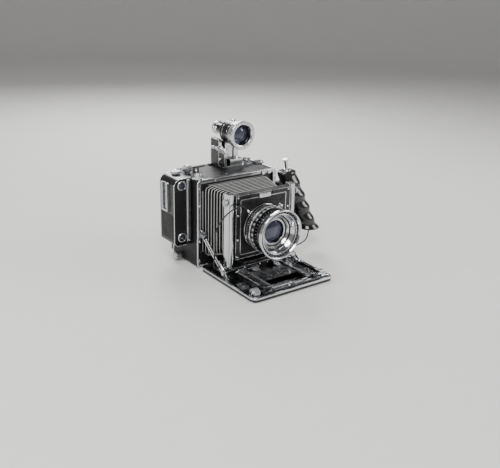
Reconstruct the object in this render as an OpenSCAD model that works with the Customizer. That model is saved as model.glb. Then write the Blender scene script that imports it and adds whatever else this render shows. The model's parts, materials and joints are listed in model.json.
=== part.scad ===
// Folding technical field camera for 4 x 5 inch film, opened and standing on its own base.
// +Z is up, the lens looks towards -Y and the origin is the mouth of the tripod socket.

/* [Body] */
// Width of the body box
body_w = 173; // [172:0.5:176]
// Height of the body box
body_h = 166; // [165:0.5:168]
// Front face of the body, behind the origin's line when negative
body_front = -45; // [-46:0.5:-45]
// Back face of the body
body_back = 43; // [42:0.5:48]
// Thickness of the side walls
wall = 7.5; // [7.5:0.1:7.8]
// Radius of the body's long corners
corner_r = 8; // [6:0.5:9]

/* [Bed] */
// Length of the drop bed from the body's front to its lip
bed_l = 173; // [172:0.5:180]
// Thickness of the bed's leather-faced plate
plate_t = 3; // [2.5:0.1:3]
// Height of the bed's plated rim
rim_h = 9; // [7:0.5:10]

/* [Focus] */
// Height of the underside of the moving rails
rail_z = 13; // [13:0.1:13.2]
// Radius of the focusing knobs
knob_r = 9; // [8:0.2:9.2]
// Distance of the pinion shaft from the lip of the bed
shaft_inset = 18; // [18:0.5:19]

/* [Front standard] */
// Front face of the lens board
board_y = -123; // [-123.5:0.1:-123]
// Height of the lens axis
lens_z = 89.6; // [89:0.1:90]
// Outer half width of the standard's columns
column_x = 72; // [71:0.1:72.5]
// Top of the standard's columns
column_top = 157; // [150:1:160]

/* [Lens] */
// Outer radius of the front ring
front_ring_r = 44.25; // [43.5:0.05:45]
// Front plane of the lens
lens_front = -175.7; // [-177:0.1:-175]
// Radius of the filter thread
filter_r = 41; // [40.5:0.1:41.5]
// Radius of the shutter's case
shutter_r = 40; // [39.5:0.1:40]

/* [Finder] */
// Sideways place of the finder's axis
finder_x = 23; // [20:0.5:26]
// Height of the finder's axis
finder_z = 230; // [228:0.5:232]
// Radius of the finder's front ring
finder_r = 26.5; // [25:0.1:27]

/* [Hand grip] */
// Sideways place of the grip's top
grip_x = 114; // [112:1:118]
// Height of the grip's top
grip_top = 150; // [146:1:152]

/* [Hidden] */
$fn = 64;

half_w = body_w / 2;
open_x = half_w - wall;
floor_z = 7;
roof_z = body_h - 9;
trim_t = 2;
bush_r = 9;
bush_h = 10;
// The 3/8 inch tripod thread's radius
tripod_r = 4.76;

// The bed's hinge axis, its plate and the pinion shaft above it
hinge_y = body_front - 4.5;
hinge_z = 5;
pin_r = 1.8;
bed_back = hinge_y - 5;
bed_front = body_front - bed_l;
rim_w = 5.5;
shaft_y = bed_front + shaft_inset;
shaft_z = knob_r + 0.8;
shaft_r = 1.8;
run = 0.05;
gap = 0.3;

// Moving rails, and the fixed guides beside them
rail_in = 38;
rail_out = 49;
rail_t = 4;
guide_out = 58;
carriage_front = -203;
plate_front = -178;
guide_top = 16.7;
carriage_back = -100;

// Struts: the body pivot, the bed pin and the slope of the line between them
strut_x = 77.5;
strut_t = 2.5;
pivot_y = -51.5;
pivot_z = 66;
bedpin_y = -118;
bedpin_z = 16.5;
strut_len = norm([bedpin_y - pivot_y, bedpin_z - pivot_z]);
strut_slope = atan2(pivot_z - bedpin_z, pivot_y - bedpin_y);
strut_draw = 12.4;
strut_half = 4.5;
strut_pin_r = 1.9;

// Sections of the bellows: [y, half width, lowest z, highest z]
bellows_rear = [body_front + 5, 73, 19, 154];
bellows_front = [board_y + 14, 52, 41, 150];
pleats = 8;
pleat_d = 4.5;
bellows_wall = 1.2;

// Lens: planes along the axis, from the board forwards
flange_y = board_y - 6;
shutter_y = flange_y - 14.5;
speed_y = shutter_y - 7;
bore_r = 24;
glass_back = shutter_y - 5.5;
glass_r = 21.5;
throat_r = 36.5;
hub_r = 30;
column_r = 6.5;
ring_in = shutter_r + run;
ring_out = 42.4;
socket_a = 135;

finder_front = -25;
finder_back = 50;
barrel_r = 22;
neck_r = 9.5;
eye_r = 7;

grip_lean = [38, -26, -106];

cable_r = 1.25;
// Hand-chosen route of the release cable, from the grip's foot to the shutter
cable_route = [
    [152, -71, 43], [152, -71, 36], [150.5, -71.6, 30], [147, -73.6, 25], [141, -77, 21.6], [131, -81.5, 20.2],
    [118, -86.5, 20], [102, -92, 20.2], [85, -96, 20.2],
    [60, -98, 20.2], [30, -98, 20.2], [0, -98, 20.2], [-30, -98, 20.2], [-60, -98, 20.2], [-80, -99, 20.4],
    [-88, -101, 26], [-90, -105, 40], [-92, -110, 58], [-96, -116, 80], [-97, -122, 100], [-92, -128, 117],
    [-82, -131, 129], [-68, -132, 136.5], [-54, -129, 138], [-45, -126.4, 134], [-38, -126, 127.6]
];

// ---- helpers -------------------------------------------------------------------------------

// A round bar along X from x0 to x1
module bar_x(r, x0, x1, y, z) translate([x0, y, z]) rotate([0, 90, 0]) cylinder(r = r, h = x1 - x0);

// A round bar along Y from y0 to y1
module bar_y(r, y0, y1, x, z) translate([x, y0, z]) rotate([-90, 0, 0]) cylinder(r = r, h = y1 - y0);

// A tapered round bar along Y, r0 at y0 and r1 at y1
module cone_y(r0, r1, y0, y1, x, z) translate([x, y0, z]) rotate([-90, 0, 0]) cylinder(r1 = r0, r2 = r1, h = y1 - y0);

// A box from its lowest corner to its highest corner
module block(a, b) translate(a) cube(b - a);

// The same child on both sides of the middle plane
module both() {
    children();
    mirror([1, 0, 0]) children();
}

// A rectangle with round corners
module rounded(w, h, r) {
    translate([-w / 2, -h / 2]) union() {
        translate([r, 0]) square([w - 2 * r, h]);
        translate([0, r]) square([w, h - 2 * r]);
        for (x = [r, w - r], y = [r, h - r]) translate([x, y]) circle(r = r);
    }
}

// An outline in the X-Z plane given thickness from y0 to y1
module sheet_y(y0, y1) translate([0, y1, 0]) rotate([90, 0, 0]) linear_extrude(y1 - y0) children();

// A fluted disc for knurled edges: n flutes of depth d
module fluted(r, n, d) polygon([for (i = [0:2 * n - 1]) (r - (i % 2) * d) * [cos(i * 180 / n), sin(i * 180 / n)]]);

// A knurled knob standing on Z with a slotted cap
module knob(r, h, n) {
    linear_extrude(h - 1) fluted(r, n, 0.5);
    translate([0, 0, h - 1]) difference() {
        cylinder(r = r * 0.72, h = 1.4);
        translate([-r, -0.7, 0.6]) cube([2 * r, 1.4, 1.2]);
    }
}

// The body's outline, and its clear opening
module body_outline() translate([0, body_h / 2]) rounded(body_w, body_h, corner_r);
module body_opening(y0, y1) block([-open_x, y0, floor_z], [open_x, y1, roof_z]);

// ---- body ----------------------------------------------------------------------------------

module body_shell() color("#1b1b1c") difference() {
    sheet_y(body_front + trim_t, body_back - trim_t) body_outline();
    body_opening(body_front, body_back);
    translate([0, 0, -1]) cylinder(r = bush_r, h = floor_z + 2);
    for (x = [-1, 1], z = [20, 146]) bar_y(2.45, -14, body_back, x * (half_w - 3.75), z);
}

module trim_frame(y0) difference() {
    sheet_y(y0, y0 + trim_t) body_outline();
    body_opening(y0 - 1, y0 + trim_t + 1);
}

module front_trim() color("#d8dadc") trim_frame(body_front);

module rear_trim() color("#d8dadc") difference() {
    trim_frame(body_back - trim_t);
    for (x = [-1, 1], z = [20, 146]) bar_y(2.45, body_back - 3, body_back + 1, x * (half_w - 3.75), z);
}

module tripod_bush() color("#c9a45a") difference() {
    union() {
        cylinder(r = bush_r, h = floor_z);
        translate([0, 0, floor_z]) cylinder(r = bush_r + 3, h = bush_h - floor_z);
    }
    translate([0, 0, -1]) cylinder(r = tripod_r, h = bush_h + 2);
}

module inner_track() color("#b9bbbe") both() difference() {
    block([rail_in, -36, floor_z], [rail_out, 34, floor_z + 6]);
    block([rail_in + 3, -37, floor_z + 3], [rail_out - 3, 35, floor_z + 7]);
}

// The plate inside the body's mouth that carries the rear end of the bellows
module bellows_frame() color("#17171a") difference() {
    block([-open_x, bellows_rear[0], floor_z], [open_x, bellows_rear[0] + 3, roof_z]);
    block([-69, bellows_rear[0] - 1, 23], [69, bellows_rear[0] + 4, 150]);
}

// Three knuckles on the body with the hinge pin, and the two lugs that carry the struts
module body_hinge() color("#c9cbcd") {
    for (x = [-70, -15, 40]) {
        bar_x(4.2, x, x + 30, hinge_y, hinge_z);
        block([x, hinge_y, 2], [x + 30, body_front, 8]);
    }
    bar_x(pin_r, -71, 71, hinge_y, hinge_z);
    both() {
        block([open_x - 5, pivot_y - 4, pivot_z - 6], [strut_x - gap, body_front, pivot_z + 6]);
        block([strut_x - gap, body_front - 1, pivot_z - 8], [half_w - 2, body_front, pivot_z + 8]);
        bar_x(strut_pin_r, strut_x - gap, strut_x + strut_t + gap, pivot_y, pivot_z);
        bar_x(4, strut_x + strut_t + gap, strut_x + strut_t + gap + 2.4, pivot_y, pivot_z);
    }
}

// ---- rangefinder side ----------------------------------------------------------------------

rf_in = -half_w;
rf_out = -123;
rf_front = -27;
rf_back = 22;

module rf_housing() color("#202022") difference() {
    sheet_y(rf_front, rf_back) polygon([
        [rf_in, 44], [-117, 44], [rf_out, 50], [rf_out, 158], [-118, 165], [-111, 168], [rf_in, 168]
    ]);
    for (z = [60, 156]) bar_y(6.5, rf_front - 1, rf_front + 4, -108, z);
}

module rf_trim() color("#d8dadc") {
    block([-98, rf_front - 2, 50], [-90, rf_front, 167]);
    for (z = [60, 156]) difference() {
        bar_y(8.2, rf_front - 2.4, rf_front, -108, z);
        bar_y(6.5, rf_front - 3, rf_front + 1, -108, z);
    }
}

module rf_windows() color([0.55, 0.68, 0.75, 0.6]) for (z = [60, 156]) bar_y(6.5, rf_front + 0.6, rf_front + 4, -108, z);

// A cold shoe: a back plate with two folded lips, open at its top end
module accessory_shoe() color("#c9cbcd") difference() {
    block([rf_out - 4.6, -10.5, 106], [rf_out, 10.5, 158]);
    block([rf_out - 3.2, -9.3, 110], [rf_out - 1.2, 9.3, 160]);
    block([rf_out - 6, -6.2, 110], [rf_out - 2, 6.2, 160]);
}

// A wire loop below the rangefinder and a fixed lug on the right of the roof
module strap_lugs() color("#c9cbcd") {
    translate([-104, -8, 42.6]) rotate([0, 90, 90]) difference() {
        cylinder(r = 10, h = 2.4);
        translate([0, 0, -1]) cylinder(r = 7.6, h = 5);
        translate([-12, -12, -1]) cube([12, 24, 5]);
    }
    translate([-104, -6.8, 0]) for (s = [-1, 1]) translate([s * 8.8, 0, 42.4]) cylinder(r = 1.2, h = 1.6);
    difference() {
        block([66, -8, body_h], [84, 4, body_h + 5]);
        bar_x(1.7, 60, 90, -2, body_h + 2.6);
    }
    difference() {
        block([-66, 2, body_h], [-54, 5, body_h + 11]);
        bar_y(3.2, 0, 8, -60, body_h + 6);
    }
}

// Slotted screw and small catch on the front frame, raised ribs and a stud on the roof
module body_fittings() color("#c9cbcd") {
    translate([70, body_front, 161.5]) rotate([90, 0, 0]) difference() {
        cylinder(r = 4, h = 1.6);
        translate([-5, -0.5, 0.8]) cube([10, 1, 1]);
    }
    block([52, body_front - 3, roof_z + 1], [58, body_front, body_h - 1]);
    block([-50, body_front - 2, roof_z + 2], [-42, body_front, body_h - 2]);
    for (x = [-45, 62]) block([x, 32, body_h], [x + 22, 39, body_h + 1.6]);
    translate([-77, -33, body_h]) cylinder(r = 10, h = 1.5);
    translate([-77, -33, body_h + 1.5]) knob(8.5, 7, 20);
    for (x = [-30, -20]) translate([x, -34, body_h]) cylinder(r = 2, h = 1);
}

// ---- finder --------------------------------------------------------------------------------

module finder_foot() color("#c4c6c9") {
    block([0, -9, body_h], [57, 38, body_h + 4]);
    block([10, -4, body_h + 4], [38, 33, body_h + 16]);
    hull() for (x = [finder_x - 8, finder_x + 8]) translate([x, 14.5, body_h + 15]) cylinder(r = 8, h = 23);
    difference() {
        block([6, 8, 203], [40, 20, 214]);
        bar_y(barrel_r, 0, 30, finder_x, finder_z);
    }
    translate([47, 2, body_h + 4]) knob(7, 9, 18);
    translate([47, 24, body_h + 4]) cylinder(r = 5, h = 5);
}

module finder_bracket() color("#1d1d1f") {
    block([-14, 30, body_h], [-1, 38, body_h + 3]);
    block([-6, 10, body_h + 3], [-1, 38, 218]);
    block([-6, -9, body_h + 3], [-1, 12, 196]);
    block([-1, 30, body_h + 5], [9, 34, 212]);
}

module finder_barrel() color("#19191b") difference() {
    union() {
        bar_y(20, finder_front + 9, 0, finder_x, finder_z);
        bar_y(barrel_r, finder_front + 13.8, 20, finder_x, finder_z);
        cone_y(barrel_r, neck_r, 20, 34, finder_x, finder_z);
        bar_y(neck_r, 33.9, finder_back, finder_x, finder_z);
        translate([finder_x, 6, finder_z + 20]) cylinder(r = 4, h = 5);
    }
    bar_y(eye_r, finder_front, finder_back + 1, finder_x, finder_z);
    bar_y(12, finder_front, 24, finder_x, finder_z);
    bar_y(17, finder_front, 2, finder_x, finder_z);
}

// The turning front ring: a plain rim in front and a knurled band behind it
module finder_ring() color("#cfd1d4") difference() {
    union() {
        bar_y(finder_r, finder_front, finder_front + 3.5, finder_x, finder_z);
        translate([finder_x, finder_front + 13.5, finder_z]) rotate([90, 0, 0])
            linear_extrude(10) fluted(finder_r - 1, 40, 0.6);
    }
    bar_y(20 + 2 * run, finder_front + 5, finder_front + 20, finder_x, finder_z);
    bar_y(18, finder_front - 1, finder_front + 20, finder_x, finder_z);
}

module finder_lens() color([0.45, 0.6, 0.72, 0.6]) {
    bar_y(16.9, -14, -10, finder_x, finder_z);
    bar_y(eye_r - 0.1, finder_back - 6, finder_back - 3, finder_x, finder_z);
}

module finder_eyepiece() color("#161617") difference() {
    union() {
        cone_y(neck_r, 12.5, finder_back, finder_back + 5, finder_x, finder_z);
        bar_y(12.5, finder_back + 5, finder_back + 11, finder_x, finder_z);
    }
    bar_y(eye_r, finder_back - 1, finder_back + 7, finder_x, finder_z);
    cone_y(eye_r, 11, finder_back + 6.9, finder_back + 11.1, finder_x, finder_z);
}

// ---- turning knobs on the body -------------------------------------------------------------

module lock_knob_top() color("#c9cbcd") translate([-76, 7, body_h + gap]) {
    cylinder(r = 5, h = 4);
    translate([0, 0, 4]) linear_extrude(9) fluted(8, 22, 0.6);
    translate([0, 0, 13]) cylinder(r1 = 7, r2 = 5.5, h = 1.8);
}

module lock_knob_side() color("#c9cbcd") translate([-half_w - gap, 12, 10]) rotate([0, -90, 0]) {
    cylinder(r = 5, h = 4);
    translate([0, 0, 4]) linear_extrude(10) fluted(8.5, 24, 0.6);
    translate([0, 0, 14]) cylinder(r1 = 7.5, r2 = 6, h = 1.8);
}

module rf_wheel() color("#c9cbcd") translate([-100, 6, 168 + gap]) {
    cylinder(r = 4, h = 1.5);
    translate([0, 0, 1.5]) linear_extrude(4.5) fluted(9, 30, 0.5);
}

// ---- hand grip -----------------------------------------------------------------------------

// Two arms from the bracket into the grip
module grip_arms() {
    block([half_w + 4, -56, 98], [grip_x + 14, -36, 106]);
    block([half_w + 4, -52, 129], [grip_x + 2, -36, 137]);
}

module grip_bracket() color("#232325") {
    block([half_w, -40, 96], [half_w + 4, -8, 150]);
    grip_arms();
}

// One slice of the grip: a flattened ball at a share t of its length, set in towards the palm
module grip_slice(t, rx, ry, palm) translate([grip_x - palm, body_front, grip_top] + t * grip_lean)
    scale([rx, ry, t > 0 ? 9 : 14]) sphere(r = 1, $fn = 24);

// Turns what follows into line with the plunger
module plunger_axis() translate([grip_x, body_front, grip_top]) rotate([0, -12, 0]) children();

// A hand-shaped handle: a chain of swells and finger grooves over a flared foot
module grip_body() color("#1a1a1b") difference() {
    union() {
        stations = [
            [0, 19, 15, 1.5], [0.14, 20.5, 18, 1.5], [0.26, 18.5, 15.5, 2], [0.37, 20, 18.5, 1],
            [0.48, 17.5, 15.5, 1.5], [0.59, 19, 18.5, 0.5], [0.7, 16.5, 15.5, 1], [0.82, 18, 18, 0],
            [0.92, 16.5, 16.5, 0], [1.0, 21, 20, 0]
        ];
        for (i = [0:len(stations) - 2]) hull() {
            for (s = [stations[i], stations[i + 1]]) grip_slice(s[0], s[1], s[2], s[3]);
        }
    }
    plunger_axis() {
        translate([0, 0, -12]) cylinder(r = 3.7, h = 42);
        block([-40, -40, 7], [40, 40, 30]);
    }
    block([110, -120, 20], [210, -30, cable_route[0][2]]);
    grip_arms();
}

module grip_plunger() color("#c9cbcd") plunger_axis() {
    translate([0, 0, -4]) cylinder(r = 3.4, h = 32);
    translate([0, 0, 28]) cylinder(r = 5.4, h = 2.5);
}

// ---- cable ---------------------------------------------------------------------------------

function unit(v) = v / norm(v);
function tangent(p, i) = unit(p[min(i + 1, len(p) - 1)] - p[max(i - 1, 0)]);
function side_of(t) = unit(cross(t, abs(t[2]) > 0.9 ? [0, 1, 0] : [0, 0, 1]));
function carried(p, i) = i == 0 ? side_of(tangent(p, 0)) :
    let (s = carried(p, i - 1), t = tangent(p, i)) unit(s - (s * t) * t);
function catmull(a, b, c, d, t) = 0.5 * ((2 * b) + (c - a) * t + (2 * a - 5 * b + 4 * c - d) * t * t
    + (3 * b - a - 3 * c + d) * t * t * t);
function smooth_path(p, n) = [
    for (i = [0:len(p) - 2], k = [0:n - 1])
        catmull(p[max(i - 1, 0)], p[i], p[i + 1], p[min(i + 2, len(p) - 1)], k / n),
    p[len(p) - 1]
];

module tube(p, r, sides) {
    ring = [for (i = [0:len(p) - 1]) let (t = tangent(p, i), u = carried(p, i), w = cross(t, u))
        for (k = [0:sides - 1]) p[i] + r * (cos(360 * k / sides) * u + sin(360 * k / sides) * w)];
    walls = [for (i = [0:len(p) - 2], k = [0:sides - 1])
        [i * sides + k, i * sides + (k + 1) % sides, (i + 1) * sides + (k + 1) % sides, (i + 1) * sides + k]];
    ends = [[for (k = [sides - 1:-1:0]) k], [for (k = [0:sides - 1]) (len(p) - 1) * sides + k]];
    polyhedron(points = ring, faces = [for (f = concat(walls, ends)) [for (i = [len(f) - 1:-1:0]) f[i]]]);
}

module release_cable() color("#3a3a3c") tube(smooth_path(cable_route, 3), cable_r, 8);

// The metal end of the cable, screwed into the shutter's socket
module cable_ferrule() color("#c9cbcd") {
    translate([0, flange_y + 3, lens_z]) rotate([0, -(socket_a - 90), 0])
        translate([0, 0, shutter_r + 5.5]) cylinder(r = 2.2, h = 8.2);
}

// ---- bellows -------------------------------------------------------------------------------

// One eight-cornered ring of the bellows at share t of its length, drawn in by d
function bellows_ring(t, d) =
    let (y = (1 - t) * bellows_rear[0] + t * bellows_front[0],
         w = (1 - t) * bellows_rear[1] + t * bellows_front[1] - d,
         a = (1 - t) * bellows_rear[2] + t * bellows_front[2] + d,
         b = (1 - t) * bellows_rear[3] + t * bellows_front[3] - d,
         c = 9)
    [[w - c, y, a], [w, y, a + c], [w, y, b - c], [w - c, y, b],
     [c - w, y, b], [-w, y, b - c], [-w, y, a + c], [c - w, y, a]];

module bellows() color("#161616") {
    steps = 2 * pleats;
    outer = [for (i = [0:steps]) bellows_ring(i / steps, (i % 2) * pleat_d)];
    inner = [for (i = [0:steps]) bellows_ring(i / steps, (i % 2) * pleat_d + bellows_wall)];
    points = [for (r = outer, q = r) q, for (r = inner, q = r) q];
    base = 8 * (steps + 1);
    outside = [for (i = [0:steps - 1], k = [0:7])
        [8 * i + k, 8 * i + (k + 1) % 8, 8 * (i + 1) + (k + 1) % 8, 8 * (i + 1) + k]];
    inside = [for (f = outside) [for (j = [3:-1:0]) f[j] + base]];
    rear_lip = [for (k = [0:7]) [(k + 1) % 8, k, base + k, base + (k + 1) % 8]];
    front_lip = [for (k = [0:7]) let (o = 8 * steps)
        [o + k, o + (k + 1) % 8, base + o + (k + 1) % 8, base + o + k]];
    faces = concat(outside, inside, rear_lip, front_lip);
    polyhedron(points = points, faces = [for (f = faces) [for (j = [3:-1:0]) f[j]]]);
}

// ---- bed -----------------------------------------------------------------------------------

bed_mid_y = (bed_back + bed_front) / 2;
bed_span = bed_back - bed_front;

module bed_outline(inset) translate([0, bed_mid_y])
    rounded(body_w - 2 * inset, bed_span - 2 * inset, 10 - inset);

// The plate, with a slot below each focusing knob
module bed_plate() color("#19191a") difference() {
    linear_extrude(plate_t) bed_outline(rim_w);
    both() block([62.6, shaft_y - 10, -1], [80, shaft_y + 10, plate_t + 1]);
}

// The plated rim, with two knuckles between the body's three
module bed_rim() color("#d8dadc") difference() {
    union() {
        difference() {
            linear_extrude(rim_h) bed_outline(0);
            translate([0, 0, -1]) linear_extrude(rim_h + 2) bed_outline(rim_w);
        }
        for (x = [-39.6, 15.4]) {
            bar_x(4.2, x, x + 24.2, hinge_y, hinge_z);
            block([x, bed_back - 2, 2], [x + 24.2, hinge_y, 8]);
        }
    }
    bar_x(pin_r + run, -72, 72, hinge_y, hinge_z);
}

module bed_guides() color("#2a2a2c") {
    guide_pair();
    front_bar();
}

// Fixed guides: an upright with a ledge under the moving rail
module guide_pair() both() difference() {
    union() {
        block([rail_out + gap, bed_front + 11, plate_t], [guide_out, bed_back - 8, guide_top]);
        block([44.5, bed_front + 11, plate_t], [rail_out + gap, bed_back - 8, rail_z - gap]);
    }
    bar_x(shaft_r + run, 40, 60, shaft_y, shaft_z);
}

// Cross bar that ties the guides together at the front
module front_bar() {
    block([-62, bed_front + 6, plate_t], [62, bed_front + 10.6, rail_z - 1]);
    block([-20, bed_front + 10.6, plate_t], [34, bed_front + 12.4, rail_z - 3]);
    translate([-50, bed_front + 8.3, rail_z - 1]) cylinder(r = 1.8, h = 0.7);
    translate([50, bed_front + 8.3, rail_z - 1]) cylinder(r = 1.8, h = 0.7);
}

// Distance-scale plate with two small screws, beside the left guide
module scale_plate() color("#dfe0e1") {
    block([-76, -168, plate_t], [-60, -150, plate_t + 5]);
    block([-74, -172, plate_t], [-60.5, -168, plate_t + 3]);
    for (y = [-164, -154]) translate([-68, y, plate_t + 5]) cylinder(r = 2, h = 0.8);
}

// Bed pins that run in the struts' slots, with their lock nuts
module bed_pins() color("#d8dadc") both() {
    block([68, bedpin_y - 5, plate_t], [strut_x - gap, bedpin_y + 5, bedpin_z + 4]);
    bar_x(strut_pin_r, strut_x - gap, strut_x + strut_t + gap, bedpin_y, bedpin_z);
    bar_x(4, strut_x + strut_t + gap, strut_x + strut_t + gap + 1.6, bedpin_y, bedpin_z);
}

// A flat bar from the body pivot down to the bed pin, slotted at its lower end
module strut() translate([strut_x, pivot_y, pivot_z]) rotate([180 + strut_slope, 0, 0]) rotate([0, 90, 0])
    linear_extrude(strut_t) difference() {
        hull() {
            circle(r = strut_half, $fn = 32);
            translate([0, strut_len + strut_draw + 1.7]) circle(r = strut_half, $fn = 32);
        }
        circle(r = strut_pin_r + run);
        hull() {
            translate([0, strut_len - 0.4]) circle(r = strut_pin_r + 0.4);
            translate([0, strut_len + strut_draw + 0.4]) circle(r = strut_pin_r + 0.4);
        }
        hull() {
            translate([0, 10]) circle(r = 1.6);
            translate([0, strut_len - 10]) circle(r = 1.6);
        }
    }

module strut_right() color("#d8dadc") strut();
module strut_left() color("#d8dadc") mirror([1, 0, 0]) strut();

// ---- focusing drive ------------------------------------------------------------------------

module pinion_shaft() color("#d8dadc") {
    bar_x(shaft_r, -63.5, 63.5, shaft_y, shaft_z);
    both() translate([39, shaft_y, shaft_z]) rotate([0, 90, 0]) linear_extrude(4.5) fluted(2.75, 10, 0.5);
}

module focus_knob() translate([63.5, shaft_y, shaft_z]) rotate([0, 90, 0]) {
    cylinder(r = 5, h = 3);
    translate([0, 0, 3]) linear_extrude(11) fluted(knob_r, 26, 0.6);
    translate([0, 0, 14]) cylinder(r = knob_r - 2.5, h = 1.2);
}
module focus_knob_right() color("#c9cbcd") focus_knob();
module focus_knob_left() color("#c9cbcd") mirror([1, 0, 0]) focus_knob();

module focus_lock() color("#e6e6e4") translate([7, bed_front + 8.3, rail_z - 1 + gap]) {
    cylinder(r = 2, h = 1.6);
    block([-3, -2, 1.6], [14, 2.2, 3.6]);
}

// ---- carriage and front standard -----------------------------------------------------------

module carriage_rails() color("#c4c6c9") both() difference() {
    block([rail_in, carriage_front, rail_z], [rail_out, carriage_back, rail_z + rail_t]);
    for (y = [carriage_front + 4:4:-132]) block([rail_in + 1, y, rail_z + rail_t - 0.7], [rail_in + 5, y + 2, 18]);
}

module carriage_plate() color("#242426") difference() {
    block([-rail_in, plate_front, rail_z], [rail_in, carriage_back, rail_z + 2]);
    for (x = [-30, -18, -6, 6, 18, 30]) block([x - 1, plate_front - 1, rail_z + 1.2], [x + 1, -132, rail_z + 3]);
}

module standard_base() color("#1e1e20") {
    block([-62, -128, rail_z + rail_t], [62, -106, 27]);
    block([-44, -127, 27], [44, -108, 33]);
    block([-rail_in, -128, rail_z + 2], [rail_in, -106, rail_z + rail_t]);
}

// A half-round column with a flat foot, on each side
module standard_columns() color("#cfd1d4") both() {
    translate([column_x - column_r, -116.5, 27]) cylinder(r = column_r, h = column_top - 27);
    block([column_x - 2 * column_r, -116.5, 27], [column_x, -107, column_top]);
    block([62, -127, 22], [column_x, -107, 27]);
}

module standard_clamps() color("#dcdddf") both() {
    block([16, -136, rail_z + 2], [30, -128, 24]);
    block([18, -142, rail_z + 2], [28, -136, rail_z + 6]);
    block([46, -133, rail_z + rail_t], [58, -128, 24]);
}

module side_knob(z) translate([column_x + gap, -115, z]) rotate([0, 90, 0]) {
    cylinder(r = 3, h = 1.5);
    translate([0, 0, 1.5]) linear_extrude(3.4) fluted(6.5, 18, 0.5);
}
module rise_knob() color("#d8dadc") mirror([1, 0, 0]) side_knob(143);
module rise_lock() color("#d8dadc") side_knob(143);

// ---- lens panel ----------------------------------------------------------------------------

module lens_frame() color("#1b1b1d") {
    difference() {
        block([-58.6, board_y, 38], [58.6, board_y + 12, 154]);
        block([-49, board_y - 1, 45], [49, board_y + 13, 146]);
    }
    both() block([49, board_y + 12, 38], [56, board_y + 14, 154]);
    block([-49, board_y + 12, 38], [49, board_y + 14, 43]);
    block([-49, board_y + 12, 149], [49, board_y + 14, 154]);
    block([-30, board_y - 2, 147], [-16, board_y, 153]);
    block([18, board_y - 2, 147], [32, board_y, 153]);
}

module lens_board() color("#242427") difference() {
    block([-49, board_y, 45], [49, board_y + 4, 146]);
    for (z = [52, 58, 122 + 12, 128 + 12]) block([-44, board_y - 1, z], [44, board_y + 0.7, z + 1.2]);
    bar_y(bore_r, board_y - 1, board_y + 5, 0, lens_z);
}

module board_latch() color("#d8dadc") {
    block([-11, board_y - 2.6, 144], [13, board_y - gap, 152]);
    block([-5, board_y - 5, 148], [7, board_y - 2.6, 151]);
}

module shutter_body() color("#1c1c1e") difference() {
    union() {
        bar_y(41, flange_y, board_y, 0, lens_z);
        bar_y(shutter_r, shutter_y, flange_y, 0, lens_z);
        translate([0, flange_y + 3, lens_z]) rotate([0, -(socket_a - 90), 0]) cylinder(r = 2.8, h = shutter_r + 5.5);
    }
    bar_y(bore_r, shutter_y - 1, board_y + 1, 0, lens_z);
}

// A stopped-down iris seen through the front glass
module aperture_blades() color("#2c2c2e") translate([0, -133, lens_z]) rotate([90, 0, 0]) difference() {
    cylinder(r = bore_r, h = 1);
    translate([0, 0, -1]) cylinder(r = 9, h = 3, $fn = 10);
}

module lens_barrel() color("#1a1a1c") difference() {
    union() {
        bar_y(hub_r, speed_y - 1, shutter_y, 0, lens_z);
        cone_y(41, 36, speed_y - 17, speed_y - 1, 0, lens_z);
        bar_y(front_ring_r, lens_front, speed_y - 17, 0, lens_z);
    }
    bar_y(19, lens_front - 1, shutter_y + 1, 0, lens_z);
    bar_y(filter_r, lens_front - 1, lens_front + 5, 0, lens_z);
    cone_y(throat_r, glass_r + 1, lens_front + 4.9, glass_back - 3.9, 0, lens_z);
    bar_y(glass_r + 0.2, glass_back - 4, glass_back, 0, lens_z);
}

// A lens with a flat back, an edge 1.5 mm thick and a front face of radius 45
module front_glass() color([0.35, 0.5, 0.65, 0.5]) translate([0, glass_back, lens_z]) rotate([90, 0, 0])
    rotate_extrude() polygon(concat([[0, 0], [glass_r, 0]],
        [for (i = [0:10]) let (a = asin(glass_r / 45) * (1 - i / 10)) [45 * sin(a), 45 * cos(a) - 38.03]]));

module rear_barrel() color("#18181a") difference() {
    bar_y(bore_r, board_y + 4 - 12, board_y + 26, 0, lens_z);
    bar_y(20, board_y - 9, board_y + 27, 0, lens_z);
}

// A ring that turns on the shutter's case, with a small tab at an angle
module case_ring(y0, y1, tab_a, tab_l) {
    translate([0, y1, lens_z]) rotate([90, 0, 0]) difference() {
        linear_extrude(y1 - y0) fluted(ring_out, 36, 0.4);
        translate([0, 0, -1]) cylinder(r = ring_in, h = y1 - y0 + 2, $fn = 180);
    }
    translate([0, (y0 + y1) / 2, lens_z]) rotate([0, -tab_a, 0])
        block([ring_out - 1, -(y1 - y0) / 2, -2.5], [ring_out + tab_l, (y1 - y0) / 2, 2.5]);
}

module aperture_ring() color("#2b2b2d") case_ring(flange_y - 5.5, flange_y - gap, 190, 4);

module cocking_lever() color("#2b2b2d") {
    case_ring(flange_y - 12, flange_y - 6.5, 62, 6.5);
    translate([0, flange_y - 6.5, lens_z]) rotate([0, -62, 0]) translate([ring_out + 4, 0, 0])
        rotate([90, 0, 0]) translate([0, 0, 5.5]) cylinder(r = 2.6, h = 6);
}

module speed_ring() color("#3a3a3c") translate([0, shutter_y - gap, lens_z]) rotate([90, 0, 0]) difference() {
    linear_extrude(6.5) fluted(ring_out + 0.4, 28, 1);
    translate([0, 0, -1]) cylinder(r = hub_r + run, h = 9);
}

// ---- sliding back --------------------------------------------------------------------------

back_y = body_back + gap;

lid_y = back_y + 12;
lid_z = 138.2;
lid_x = [-50, 20];

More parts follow.
